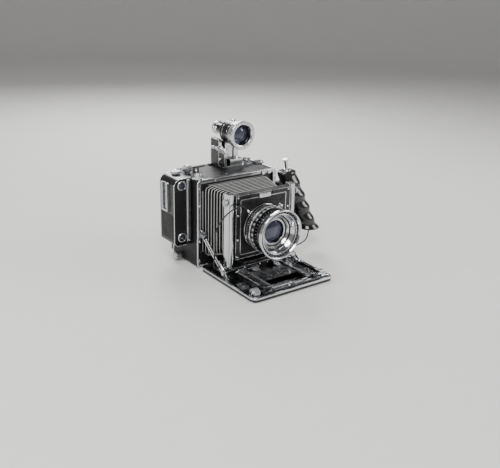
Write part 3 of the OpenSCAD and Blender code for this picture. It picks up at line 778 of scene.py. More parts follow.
@dataclass
class BodyCase:
    """The leather-covered box with its plated frames, roof fittings, hinge and tripod bush."""

    half_w: float = 86.5
    half_h: float = 83.0
    front: float = -45.0
    back: float = 43.0
    corner: float = 8.0
    open_inset: float = 7.6

    def build(self) -> None:
        """Builds the case's pieces."""
        for node, finish, edge in (("body_shell", HIDE, 0.8), ("tripod_bush", BRASS, 0.4),
                                   ("inner_track", MILLED, 0.3), ("bellows_frame", WRINKLE, 0.5),
                                   ("body_hinge", SATIN, 0.4), ("strap_lugs", CHROME, 0.35),
                                   ("body_fittings", CHROME, 0.35)):
            refined(node, finish, edge)
        self.bezel()
        refined("rear_trim", CHROME, 0.3)
        self.screws()
        self.roof_strips()

    def bezel(self) -> None:
        """Rolls the plated front frame round the mouth of the case."""
        bead = ((0.0, 2.0), (0.0, 0.7), (0.35, 0.15), (1.0, -0.25), (2.0, -0.4), (2.7, -0.2), (3.0, 0.15),
                (3.4, 0.25), (6.0, 0.25), (6.5, 0.0), (7.1, 0.05), (self.open_inset, 0.5),
                (self.open_inset, 2.0))
        profile = [(inset, self.front + along) for inset, along in bead]
        piece = Part.rim("front_bezel", (self.half_w, self.half_h), self.corner, (0.0, 0.0, self.half_h),
                         profile, CHROME)
        ride(piece, "camera_body", "front_trim", slot="chrome")

    def screws(self) -> None:
        """Sets countersunk screws in the front and rear frames."""
        spots = [(x, z - self.half_h, 0.0) for x in (-82.2, 82.2) for z in (16.0, 52.0, 118.0, 150.0)]
        turned = [(x, self.half_h - z, 0.0) for x in (-82.2, 82.2) for z in (38.0, 66.0, 100.0, 128.0)]
        for name, face, axis, use in (("front_screws", self.front + 0.1, "-Y", spots),
                                      ("rear_screws", self.back - 0.5, "Y", turned)):
            place = Matrix.Translation((0, face * MM, self.half_h * MM)) @ Matrix.Rotation(
                math.radians(90 if axis == "-Y" else -90), 4, "X")
            ride(Repeater.at(name, slotted_screw(2.0, 0.6), use, CHROME, 37.0, place), "camera_body",
                 slot="chrome")

    def roof_strips(self) -> None:
        """Lays plated wear strips across the roof and plated wire along the case's long edges."""
        wires = [Part.tube("wire", [Vector((x, y, z)) * MM for y in (-42.0, 0.0, 40.0)], 0.7, CHROME)
                 for x, z in ((-84.5, 2.1), (84.5, 2.1), (84.5, 163.9), (-84.5, 163.9))]
        ride(Part.join("case_piping", wires), "camera_body", slot="chrome")
        for name, low, high in (("roof_strip_rear", (-80.0, 39.6, 165.9), (80.0, 41.0, 166.9)),
                                ("roof_strip_front", (-80.0, -42.4, 165.9), (80.0, -41.0, 166.9))):
            ride(Part.slab(name, low, high, CHROME, 0.4), "camera_body", slot="chrome")


@dataclass
class Rangefinder:
    """The housing on the camera's left with its windows, trim, shoe and wheel."""

    window_x: float = -108.0
    window_z: tuple[float, float] = (60.0, 156.0)
    face: float = -27.0
    back: float = 22.0
    side: float = -123.0

    def build(self) -> None:
        """Builds the housing's pieces."""
        for node, finish, edge in (("rf_housing", ENAMEL, 1.4), ("accessory_shoe", SATIN, 0.3),
                                   ("rf_wheel", SATIN, 0.25), ("lock_knob_side", SATIN, 0.25),
                                   ("lock_knob_top", SATIN, 0.25)):
            refined(node, finish, edge)
        self.trim()
        self.windows()
        self.leather()
        self.piping()
        self.shoe_screws()

    def piping(self) -> None:
        """Runs plated wire along the housing's front and rear edges."""
        corners = ((-88.0, 44.6), (-112.0, 44.6), (-117.2, 44.8), (-119.0, 46.2), (-122.4, 49.6),
                   (-122.7, 51.4),
                   (-122.7, 80.0), (-122.7, 120.0), (-122.7, 156.4), (-122.3, 158.2), (-118.4, 163.8),
                   (-117.0, 165.0), (-111.8, 167.2), (-110.0, 167.6), (-99.0, 167.6))
        wires = [Part.tube("wire", [Vector((x, y, z)) * MM for x, z in corners], 0.75, CHROME)
                 for y in (self.face + 0.1, self.back - 0.1)]
        ride(Part.join("housing_piping", wires), "camera_body", slot="chrome")

    def trim(self) -> None:
        """Makes the plated strip and the two window bezels, standing for one node."""
        strip = Part.slab("strip", (-98.0, self.face - 2.0, 50.0), (-90.0, self.face + 0.2, 166.6), CHROME,
                          0.8)
        groove = Part.slab("groove", (-94.6, self.face - 2.5, 54.0), (-93.4, self.face - 1.6, 163.0), ENAMEL,
                           0.1)
        rings = [Part.lathe("bezel", [(self.face - 2.8, 7.0), (self.face - 2.8, 7.9), (self.face - 2.0, 8.6),
                                      (self.face, 8.8), (self.face, 6.45), (self.face - 1.4, 6.45)],
                            (self.window_x, 0.0, z), CHROME, steps=48) for z in self.window_z]
        ride(Part.join("rf_trim_made", [strip, groove, *rings]), "camera_body", "rf_trim", slot="chrome")

    def windows(self) -> None:
        """Makes the domed window glasses over blackened wells."""
        glass = [Part.lathe("glass", [(self.face + 0.2, 0.0), (self.face + 0.9, 4.0), (self.face + 1.9, 6.4),
                                      (self.face + 2.6, 6.4), (self.face + 2.6, 0.0)],
                            (self.window_x, 0.0, z), GLASS, steps=48, soften_mm=0.0) for z in self.window_z]
        ride(Part.join("rf_windows_made", glass), "camera_body", "rf_windows", slot="lens_glass")
        wells = [Part.lathe("well", [(self.face + 3.0, 0.0), (self.face + 3.0, 6.4), (self.face + 3.9, 6.4),
                                     (self.face + 3.9, 0.0)], (self.window_x, 0.0, z), BLACKING, steps=32)
                 for z in self.window_z]
        ride(Part.join("rf_window_wells", wells), "camera_body", slot="black_lacquer")

    def leather(self) -> None:
        """Covers the housing's outer side and face with leather panels inside a plated edge."""
        side = Part.slab("side_leather", (self.side - 0.5, -22.0, 55.0), (self.side + 0.4, 18.0, 102.0),
                         HIDE, 0.4)
        ride(side, "camera_body", slot="leather")
        face = Part.slab("face_leather", (-121.0, self.face - 0.45, 71.0), (-100.4, self.face + 0.3, 145.0),
                         HIDE, 0.4)
        ride(face, "camera_body", slot="leather")

    def shoe_screws(self) -> None:
        """Sets screws at the shoe's foot and on the plated strip."""
        place = facing("-X", (self.side - 1.0, 0.0, 0.0))
        spots = [place.inverted() @ Vector((self.side * MM, 0.0, z * MM)) for z in (114.0, 132.0, 150.0)]
        ride(Repeater.at("shoe_screws", slotted_screw(2.2, 0.7), [tuple(s / MM) for s in spots], CHROME, 50.0,
                         place), "camera_body", slot="chrome")
        place = facing("-Y", (0.0, self.face - 1.9, 0.0))
        spots = [place.inverted() @ Vector((-94.0 * MM, (self.face - 1.9) * MM, z * MM)) for z in (52.6,
                                                                                                   164.6)]
        ride(Repeater.at("strip_screws", slotted_screw(1.6, 0.6), [tuple(s / MM) for s in spots], CHROME,
                         70.0,
                         place), "camera_body", slot="chrome")


@dataclass
class Finder:
    """The zoom finder on its pedestal."""

    x: float = 23.0
    z: float = 230.0
    screw_x: float = -11.0
    screw_z: float = 203.0
    knurls: int = 54
    ticks: int = 18

    @property
    def centre(self) -> Point:
        """A point on the finder's axis."""
        return (self.x, 0.0, self.z)

    def build(self) -> None:
        """Builds the finder's pieces."""
        refined("finder_foot", CHROME, 0.6)
        refined("finder_bracket", ENAMEL, 0.8)
        self.barrel()
        self.front_ring()
        self.glasses()
        self.parallax_screw()
        self.fittings()

    def parallax_screw(self) -> None:
        """Builds the long parallax screw beside the bracket, and the bracket's plated edges."""
        edges = [Part.slab("edge", (-6.5, -9.4, 169.0), (-0.8, -8.5, 196.3), CHROME, 0.3),
                 Part.slab("edge", (-6.5, -9.4, 195.4), (-0.8, 10.0, 196.4), CHROME, 0.3),
                 Part.slab("edge", (-6.7, -9.4, 168.6), (-5.7, 38.4, 169.8), CHROME, 0.3)]
        outline = [(-22.0, 0.0), (-22.0, 3.9), (-21.2, 4.6), (-14.8, 4.6), (-14.0, 3.9), (-13.8, 2.6),
                   (-8.0, 2.6),
                   (-7.8, 3.6), (-5.0, 3.6), (-4.8, 2.0), (16.0, 2.0), (16.2, 3.4), (19.4, 3.4), (19.6, 2.4),
                   (26.0, 2.4), (26.0, 0.0)]
        screw = Part.lathe("screw", outline, (self.screw_x, 0.0, self.screw_z), CHROME, steps=40,
                           soften_mm=0.15)
        block = Part.slab("block", (-10.6, 4.0, self.screw_z - 4.4), (-5.6, 12.0, self.screw_z + 4.4), SATIN,
                          0.8)
        stud = Part.lathe("stud", [(-10.0, 0.0), (-10.0, 2.4), (-9.0, 3.4), (-6.0, 3.4), (-6.0, 0.0)],
                          (0.0, 2.0, 184.0), CHROME, axis="X", steps=32)
        ride(Part.join("parallax_screw", [screw, block, stud, *edges]), "camera_body", slot="chrome")
        rib = Part.slab("rib", (4.4, -0.32, -2.9), (4.95, 0.32, 2.9), CHROME, 0.15)
        place = Matrix.Translation((self.screw_x * MM, -0.018, self.screw_z * MM)) @ Matrix.Rotation(
            math.radians(90), 4, "X")
        ride(Repeater.row("parallax_knurls", rib, 24, CHROME, turn=15.0, place=place), "camera_body",
             slot="chrome")
        thread = Part.lathe("thread", [(-0.3, 1.9), (0.0, 2.5), (0.3, 1.9)], (0.0, 0.0, 0.0), SATIN, steps=24,
                            soften_mm=0.0)
        place = Matrix.Translation((self.screw_x * MM, -0.0042, self.screw_z * MM))
        ride(Repeater.row("parallax_thread", thread, 9, SATIN, shift=(0.0, 0.9, 0.0), place=place),
             "camera_body",
             slot="chrome")

    def barrel(self) -> None:
        """Turns the black barrel and its eyepiece."""
        outline = [(-16.0, 19.9), (-11.3, 19.9), (-11.2, 21.6), (-10.6, 22.0), (-4.0, 22.0), (-3.6, 21.2),
                   (-2.2, 21.2),
                   (-1.8, 22.0), (12.0, 22.0), (12.4, 21.2), (13.8, 21.2), (14.2, 22.0), (19.2, 22.0),
                   (20.2, 21.6),
                   (26.0, 16.5), (32.0, 11.2), (34.4, 9.8), (37.0, 9.5), (50.0, 9.5), (50.0, 7.0),
                   (24.0, 7.0),
                   (24.0, 12.1), (2.0, 12.1), (2.0, 17.1), (-16.0, 17.1)]
        barrel = Part.lathe("barrel", outline, self.centre, ENAMEL)
        nub = Part.lathe("nub", [(250.0, 0.0), (250.0, 4.4), (252.4, 4.4), (254.2, 3.2), (254.8, 0.0)],
                         (self.x, 6.0, 0.0), CHROME, axis="Z", steps=32)
        bands = [Part.lathe("band", [(y, 21.0), (y, 22.15), (y + 1.0, 22.15), (y + 1.0, 21.0)], self.centre,
                            CHROME)
                 for y in (-3.4, 12.6)]
        bands.append(Part.lathe("band", [(33.0, 9.4), (33.0, 10.6), (34.6, 10.3), (34.6, 9.4)], self.centre,
                                CHROME))
        ride(Part.join("finder_barrel_made", [barrel, nub, *bands]), "camera_body", "finder_barrel",
             slot="black_lacquer")
        cup = Part.lathe("finder_eyepiece_made",
                         [(50.0, 7.0), (50.0, 9.6), (51.0, 9.9), (54.6, 12.1), (55.4, 12.4),
                         (60.2, 12.4), (61.0, 11.7), (61.0, 10.9), (57.0, 7.0)], self.centre, CHROME)
        ride(cup, "camera_body", "finder_eyepiece", slot="chrome")
        bar = Part.slab("knurl", (12.2, -0.4, -2.1), (12.75, 0.4, 2.1), SATIN, 0.2)
        place = Matrix.Translation((self.x * MM, 0.0578, self.z * MM)) @ Matrix.Rotation(math.radians(90), 4,
                                                                                         "X")
        ride(Repeater.row("eyepiece_knurls", bar, 36, SATIN, turn=10.0, place=place), "camera_body",
             slot="chrome")

    def front_ring(self) -> None:
        """Turns the front ring, knurls its band and engraves a few marks."""
        outline = [(-25.0, 20.4), (-25.0, 25.6), (-24.3, 26.5), (-22.6, 26.5), (-22.0, 25.0), (-12.2, 25.0),
                   (-11.5, 24.2), (-11.5, 20.15), (-20.0, 20.15), (-20.0, 18.2), (-23.0, 18.2), (-24.4, 19.2)]
        ring = Part.lathe("finder_ring_made", outline, self.centre, CHROME, steps=120)
        ride(ring, "finder_ring", "finder_ring", slot="chrome")
        bar = Part.slab("knurl", (24.8, -0.55, -4.4), (25.75, 0.55, 4.4), SATIN, 0.3)
        place = Matrix.Translation((self.x * MM, -0.0166, self.z * MM)) @ Matrix.Rotation(math.radians(90),
                                                                                          4, "X")
        ride(Repeater.row("finder_knurls", bar, self.knurls, SATIN, turn=360 / self.knurls, place=place),
             "finder_ring", slot="chrome")
        tick = Part.slab("tick", (21.2, -0.22, 0.0), (23.4, 0.22, 0.25), ENAMEL, 0.05)
        place = Matrix.Translation((self.x * MM, -0.0250, self.z * MM)) @ Matrix.Rotation(math.radians(90),
                                                                                          4, "X")
        ride(Repeater.row("finder_marks", tick, self.ticks, ENAMEL, turn=360 / self.ticks, place=place),
             "finder_ring", slot="black_lacquer")

    def glasses(self) -> None:
        """Turns the front and eye lenses and a blackened stop between them."""
        front = Part.lathe("front", [(-18.5, 0.0), (-18.0, 6.0), (-16.2, 12.0), (-13.4, 16.9), (-11.0, 16.9),
                                     (-11.0, 0.0)], self.centre, GLASS, soften_mm=0.0)
        eye = Part.lathe("eye", [(44.0, 0.0), (44.0, 6.9), (46.2, 6.9), (47.2, 3.5), (47.4, 0.0)],
                         self.centre, GLASS, soften_mm=0.0)
        ride(Part.join("finder_lens_made", [front, eye]), "camera_body", "finder_lens", slot="lens_glass")
        stop = Part.lathe("finder_stop", [(-4.0, 5.0), (-4.0, 16.9), (-2.0, 16.9), (-1.0, 5.6)], self.centre,
                          BLACKING)
        ride(stop, "camera_body", slot="black_lacquer")

    def fittings(self) -> None:
        """Adds plated edges on the bracket, black sheets of painted shade between the posts and screws on the
        foot.
        """
        # Matt black sheets between the posts: painted shade in the gaps there.
        web = [Part.slab("web", (self.x - 1.6, 6.2, 182.6), (self.x + 1.6, 7.2, 202.6), BLACKING, 0.2),
               Part.slab("web", (self.x - 16.4, 13.0, 182.6), (self.x - 15.6, 16.0, 202.6), BLACKING, 0.2)]
        ride(Part.join("post_webs", web), "camera_body", slot="black_lacquer")
        edges = [Part.slab("edge", (-6.8, 9.4, 169.4), (-0.4, 10.6, 218.6), CHROME, 0.4),
                 Part.slab("edge", (-6.8, 9.6, 217.4), (-0.4, 38.4, 218.6), CHROME, 0.4)]
        ride(Part.join("bracket_edges", edges), "camera_body", slot="chrome")
        spots = [(5.0, -4.0, 0.0), (52.0, -4.0, 0.0), (5.0, 28.0, 0.0), (52.0, 34.0, 0.0)]
        place = Matrix.Translation((0, 0, 0.17))
        ride(Repeater.at("foot_screws", slotted_screw(2.4, 0.9), spots, CHROME, 41.0, place), "camera_body",
             slot="chrome")
        clamp = Part.lathe("clamp_screw",
                           [(-3.0, 0.0), (-3.0, 5.4), (-1.0, 6.6), (1.6, 6.6), (2.6, 5.6), (2.6, 0.0)],
                           (42.4, 15.0, 208.5), SATIN, axis="X", steps=40)
        ride(clamp, "camera_body", slot="chrome")


@dataclass
class HandGrip:
    """The moulded handle with its release plunger and bracket."""

    top: Point = (114.0, -45.0, 150.0)
    lean: Point = (38.0, -26.0, -106.0)
    lid: float = 157.0
    foot: float = 43.0
    bore: float = 3.7
    bore_floor: float = 139.0
    swells: tuple[tuple[float, float, float, float], ...] = (
        (0.0, 19.0, 15.0, 1.5), (0.14, 20.5, 18.0, 1.5), (0.26, 18.0, 15.0, 2.0), (0.37, 20.0, 18.5, 1.0),
        (0.48, 17.0, 15.0, 1.5), (0.59, 19.0, 18.5, 0.5), (0.7, 16.2, 15.2, 1.0), (0.82, 18.0, 18.0, 0.0),
        (0.92, 16.4, 16.4, 0.0), (1.0, 21.0, 20.0, 0.0))
    rings: int = 90
    sides: int = 64

    def section(self, t: float) -> tuple[float, float, float]:
        """Reads the handle's section between its swells.

        Args:
            t: the share of the handle's length.

        Returns:
            Half width, half depth and shift towards the palm, in millimetres.
        """
        for near, far in zip(self.swells, self.swells[1:]):
            if t <= far[0]:
                u = (t - near[0]) / (far[0] - near[0])
                ease = u * u * (3 - 2 * u)
                return tuple(a + (b - a) * ease for a, b in zip(near[1:], far[1:]))
        return self.swells[-1][1:]

    def build(self) -> None:
        """Builds the handle and its fittings."""
        refined("grip_bracket", ENAMEL, 0.8)
        refined("grip_plunger", CHROME, 0.5)
        self.handle()
        self.collar()

    def handle(self) -> None:
        """Lofts the handle: finger grooves on its outer front, a smooth palm and a flared foot."""
        shape = bmesh.new()
        rings = [self.bore_ring(shape, z) for z in (self.bore_floor, self.lid)]
        low = (self.foot - self.top[2]) / self.lean[2]
        high = (self.lid - self.top[2]) / self.lean[2]
        stations = [(high, 0.62), (high + 0.002, 0.8), (high + 0.007, 0.89), (high + 0.02, 0.955),
                    (-0.02, 0.99)]
        stations += [(i / self.rings, 1.0) for i in range(self.rings + 1)]
        stations += [(low - 0.004, 0.995), (low - 0.001, 0.97), (low, 0.93)]
        for t, scale in stations:
            u = min(max(t, 0.0), 1.0)
            wide, deep, palm = self.section(u)
            full = 20.3 - 2.4 * u if u < 0.9 else wide
            centre = Vector((self.top[0] + self.lean[0] * u - palm, self.top[1] + self.lean[1] * u,
                             self.top[2] + self.lean[2] * t))
            ring = []
            for k in range(self.sides):
                a = math.tau * k / self.sides
                finger = min(1.0, max(0.0, 0.7 + 1.1 * math.cos(a + math.radians(50))))
                w = finger * wide + (1 - finger) * (0.3 * wide + 0.7 * full)
                d = finger * deep + (1 - finger) * (0.4 * deep + 0.6 * min(full, deep + 2.0))
                ring.append(shape.verts.new((centre + Vector((w * math.cos(a), d * math.sin(a),
                                                              0)) * scale) * MM))
            rings.append(ring)
        for near, far in zip(rings, rings[1:]):
            for k in range(self.sides):
                n = (k + 1) % self.sides
                shape.faces.new((near[k], near[n], far[n], far[k]))
        shape.faces.new(rings[0])
        shape.faces.new(rings[-1])
        ride(Part.from_bmesh("grip_handle", shape, MOULDED, 50.0), "camera_body", "grip_body",
             slot="grip_plastic")

    def bore_ring(self, shape: bmesh.types.BMesh, height: float) -> list[bmesh.types.BMVert]:
        """Makes one ring of the plunger's slanted bore.

        Args:
            shape: the mesh that gets the ring.
            height: the ring's height.

        Returns:
            The ring's vertices.
        """
        drift = -math.tan(math.radians(12)) * (height - self.top[2])
        spots = [(self.bore * math.cos(math.tau * k / self.sides),
                  self.bore * math.sin(math.tau * k / self.sides))
                 for k in range(self.sides)]
        return [shape.verts.new(Vector((self.top[0] + drift + x, self.top[1] + y, height)) * MM) for x,
                y in spots]

    def collar(self) -> None:
        """Adds the plunger's collar and the cable's gland at the handle's foot."""
        collar = Part.lathe("grip_collar", [(6.6, 3.6), (6.6, 7.8), (9.4, 7.0), (11.4, 5.0), (11.4, 3.6)],
                            (0.0, 0.0, 0.0), CHROME, axis="Z", steps=40)
        collar.data.transform(Matrix.Translation(Vector(self.top) * MM) @ Matrix.Rotation(math.radians(-12),
                                                                                          4, "Y"))
        ride(collar, "camera_body", slot="chrome")
        gland = Part.lathe("cable_gland", [(36.5, 1.35), (36.5, 2.2), (39.0, 2.9), (43.3, 4.2), (43.3, 1.35)],
                           (152.0, -71.0, 0.0), CHROME, axis="Z", steps=32)
        ride(gland, "camera_body", slot="chrome")


@dataclass
class Cable:
    """The release cable, made in three lengths along its route."""

    radius: float = 1.25
    steps: int = 6
    joins: tuple[int, int] = (8, 16)
    route: list[Point] = field(default_factory=lambda: [
        (152, -71, 43), (152, -71, 36), (150.5, -71.6, 30), (147, -73.6, 25), (141, -77, 21.6),
        (131, -81.5, 20.2), (118, -86.5, 20), (102, -92, 20.2), (85, -96, 20.2), (60, -98, 20.2),
        (30, -98, 20.2),
        (0, -98, 20.2), (-30, -98, 20.2),
        (-60, -98, 20.2), (-80, -99, 20.4), (-88, -101, 26), (-90, -105, 40), (-92, -110, 58),
        (-96, -116, 80),
        (-97, -122, 100), (-92, -128, 117), (-82, -131, 129), (-68, -132, 136.5), (-54, -129, 138),
        (-45, -126.4, 134), (-38, -126, 127.6)])

    def smooth(self) -> list[Vector]:
        """Returns the route as one smooth line, in metres."""
        p = [Vector(q) * MM for q in self.route]
        line = []
        for i in range(len(p) - 1):
            a, b, c, d = p[max(i - 1, 0)], p[i], p[i + 1], p[min(i + 2, len(p) - 1)]
            for k in range(self.steps):
                t = k / self.steps
                line.append(0.5 * (2 * b + (c - a) * t + (2 * a - 5 * b + 4 * c - d) * t * t
                                   + (3 * b - a - 3 * c + d) * t ** 3))
        return line + [p[-1]]

    def build(self) -> None:
        """Builds the three lengths and the metal end."""
        line = self.smooth()
        first, second = (k * self.steps for k in self.joins)
        lengths = (("release_cable_root", line[:first + 1], "camera_body", "bed"),
                   ("release_cable_middle", line[first:second + 1], "bed", "carriage"),
                   ("release_cable_end", line[second:], "carriage", "lens_panel"))
        for i, (name, path, before, after) in enumerate(lengths):
            piece = Part.tube(name, path, self.radius, BRAID)
            if i == 0:
                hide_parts("release_cable")
            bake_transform(piece)
        end = Part.lathe("cable_ferrule_made",
                         [(45.6, 0.0), (45.6, 2.2), (47.0, 2.6), (50.0, 2.6), (50.6, 2.0),
                                                (53.7, 1.7), (53.7, 0.0)], (0.0, 0.0, 0.0), CHROME, axis="Z",
                         steps=24)
        end.data.transform(Matrix.Translation((0, -0.126, 0.0896)) @ Matrix.Rotation(math.radians(-45), 4,
                                                                                     "Y"))
        ride(end, "lens_panel", "cable_ferrule", slot="chrome")


@dataclass
class Bellows:
    """Pleated leather between the body and the lens panel, in three lengths across three joints."""

    rear: tuple[float, float, float, float] = (-40.0, 73.0, 19.0, 154.0)
    front: tuple[float, float, float, float] = (-109.0, 52.0, 41.0, 150.0)
    pleats: int = 11
    depth: float = 6.0
    corner: float = 0.15
    leather: float = 0.9

    def outline(self) -> bpy.types.Object:
        """Makes the outline as a curve from -1 to 1 whose Y holds the pleats' shift at the corners."""
        c, turn = self.corner, []
        corners = ((1, 1), (-1, 1), (-1, -1), (1, -1))
        for sx, sz in corners:
            flip = sx * sz > 0
            a, b = (sx, 0.0, sz * (1 - c)), (sx * (1 - c), 0.0, sz)
            mid = (sx * (1 - c * 0.42), 1.0, sz * (1 - c * 0.42))
            turn += [a, mid, b] if flip else [b, mid, a]
        turn.append(turn[0])
        curve = bpy.data.curves.new("bellows_outline", "CURVE")
        curve.dimensions = "3D"
        line = curve.splines.new("POLY")
        line.points.add(len(turn) - 1)
        for point, spot in zip(line.points, turn):
            point.co = (*spot, 1.0)
        obj = bpy.data.objects.new("bellows_outline", curve)
        bpy.context.scene.collection.objects.link(obj)
        return obj

    def tree(self) -> bpy.types.NodeTree:
        """Builds the tree that folds a sheet round the outline between two shares of the length."""
        tree = bpy.data.node_groups.new("bellows_pleats", "GeometryNodeTree")
        names = ["From", "To", "Pleats", "Depth", "Rear Y", "Front Y", "Rear Width", "Front Width",
                 "Rear Height",
                 "Front Height", "Rear Middle", "Front Middle"]
        Repeater.socket(tree, "Outline", "NodeSocketObject")
        Repeater.socket(tree, "Finish", "NodeSocketMaterial")
        Repeater.socket(tree, "Rows", "NodeSocketInt")
        for name in names:
            Repeater.socket(tree, name, "NodeSocketFloat")
        tree.interface.new_socket("Geometry", in_out="OUTPUT", socket_type="NodeSocketGeometry")
        given = add_node(tree, "NodeGroupInput").outputs
        sheet = add_node(tree, "GeometryNodeMeshGrid", {"Vertices Y": given["Rows"]},
                         {"Size X": 1.0, "Size Y": 1.0, "Vertices X": 161})
        spot = add_node(tree, "ShaderNodeSeparateXYZ",
                        {0: add_node(tree, "GeometryNodeInputPosition").outputs[0]}).outputs

        def math_of(kind: str, *terms: bpy.types.NodeSocket | float) -> bpy.types.NodeSocket:
            """Returns the result of one sum on two sockets or numbers."""
            links = {k: term for k, term in enumerate(terms) if not isinstance(term, float)}
            numbers = {k: term for k, term in enumerate(terms) if isinstance(term, float)}
            return add_node(tree, "ShaderNodeMath", links, numbers, operation=kind).outputs[0]

        round_share = math_of("ADD", spot["X"], 0.5)
        share = add_node(tree, "ShaderNodeMapRange", {"Value": spot["Y"], "To Min": given["From"],
                                                      "To Max": given["To"]},
                         {"From Min": -0.5, "From Max": 0.5}).outputs["Result"]
        outline = add_node(tree, "GeometryNodeObjectInfo", {"Object": given["Outline"]}).outputs["Geometry"]
        edge = add_node(tree, "GeometryNodeSampleCurve", {"Curves": outline, "Factor": round_share},
                        mode="FACTOR")
        place = add_node(tree, "ShaderNodeSeparateXYZ", {0: edge.outputs["Position"]}).outputs
        phase = math_of("ADD", math_of("MULTIPLY", math_of("MULTIPLY", share, given["Pleats"]), 2.0),
                        place["Y"])
        fold = math_of("PINGPONG", phase, 1.0)
        soft = add_node(tree, "ShaderNodeMapRange", {"Value": fold},
                        interpolation_type="SMOOTHSTEP").outputs["Result"]
        eased = math_of("ADD", math_of("MULTIPLY", fold, 0.65), math_of("MULTIPLY", soft, 0.35))
        dip = math_of("MULTIPLY", eased, given["Depth"])

        def between(what: str) -> bpy.types.NodeSocket:
            """Returns a size between its rear and front values."""
            return add_node(tree, "ShaderNodeMapRange", {"Value": share, "To Min": given["Rear " + what],
                                                         "To Max": given["Front " + what]}).outputs["Result"]
        x = math_of("MULTIPLY", place["X"], math_of("SUBTRACT", between("Width"), dip))
        z = math_of("ADD", between("Middle"), math_of("MULTIPLY", place["Z"],
                                                      math_of("SUBTRACT", between("Height"), dip)))
        # The fold attribute also places the painted highlight and wear on the outer ridges.
        marked = add_node(tree, "GeometryNodeStoreNamedAttribute",
                          {"Geometry": sheet.outputs["Mesh"], "Value": eased}, {"Name": "fold"},
                          domain="POINT")
        folded = add_node(tree, "GeometryNodeSetPosition",
                          {"Geometry": marked.outputs[0],
                           "Position": add_node(tree, "ShaderNodeCombineXYZ",
                                                {"X": x, "Y": between("Y"), "Z": z}).outputs[0]})
        closed = add_node(tree, "GeometryNodeMergeByDistance", {"Geometry": folded.outputs[0]},
                          {"Distance": WELD})
        solid = add_node(tree, "GeometryNodeRealizeInstances", {"Geometry": closed.outputs[0]})
        dressed = add_node(tree, "GeometryNodeSetMaterial", {"Geometry": solid.outputs[0],
                                                             "Material": given["Finish"]})
        add_node(tree, "NodeGroupOutput", {"Geometry": dressed.outputs[0]})
        return tree

    def build(self) -> None:
        """Builds the three lengths."""
        outline, tree = self.outline(), self.tree()
        (ry, rw, ra, rb), (fy, fw, fa, fb) = self.rear, self.front
        common = {"Outline": outline, "Finish": BELLOWS_HIDE.material(), "Pleats": float(self.pleats),
                  "Depth": self.depth * MM, "Rear Y": ry * MM, "Front Y": fy * MM, "Rear Width": rw * MM,
                  "Front Width": fw * MM, "Rear Height": (rb - ra) / 2 * MM,
                  "Front Height": (fb - fa) / 2 * MM,
                  "Rear Middle": (ra + rb) / 2 * MM, "Front Middle": (fa + fb) / 2 * MM}
        cuts = (("bellows_rear", 0.0, 0.375, "camera_body", "bed"),
                ("bellows_middle", 0.375, 0.6875, "bed", "carriage"),
                ("bellows_front", 0.6875, 1.0, "carriage", "lens_panel"))
        for i, (name, low, high, before, after) in enumerate(cuts):
            rows = int(round((high - low) * self.pleats * 2 * 10)) + 1
            piece = Repeater.run(name, tree, bpy.data.meshes.new(name), {**common, "From": low, "To": high,
                                 "Rows": rows}, Matrix.Identity(4), BELLOWS_HIDE)
            shape = bmesh.new()
            shape.from_mesh(piece.data)
            bmesh.ops.recalc_face_normals(shape, faces=shape.faces)
            middle = Vector((0, shape.faces[0].calc_center_median().y, (ra + rb) / 2 * MM))
            shape.faces.ensure_lookup_table()
            if shape.faces[0].normal.dot(shape.faces[0].calc_center_median() - middle) < 0:
                bmesh.ops.reverse_faces(shape, faces=shape.faces)
            for face in shape.faces:
                face.smooth = True
            shape.to_mesh(piece.data)
            shape.free()
            wall = piece.modifiers.new("leather", "SOLIDIFY")
            wall.thickness = self.leather * MM
            wall.offset = -1.0
            Part.bake(piece)
            if i == 0:
                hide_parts("bellows")
            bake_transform(piece)
            LOG.info("%s bends between %s and %s", name, before, after)
        bpy.data.objects.remove(outline)


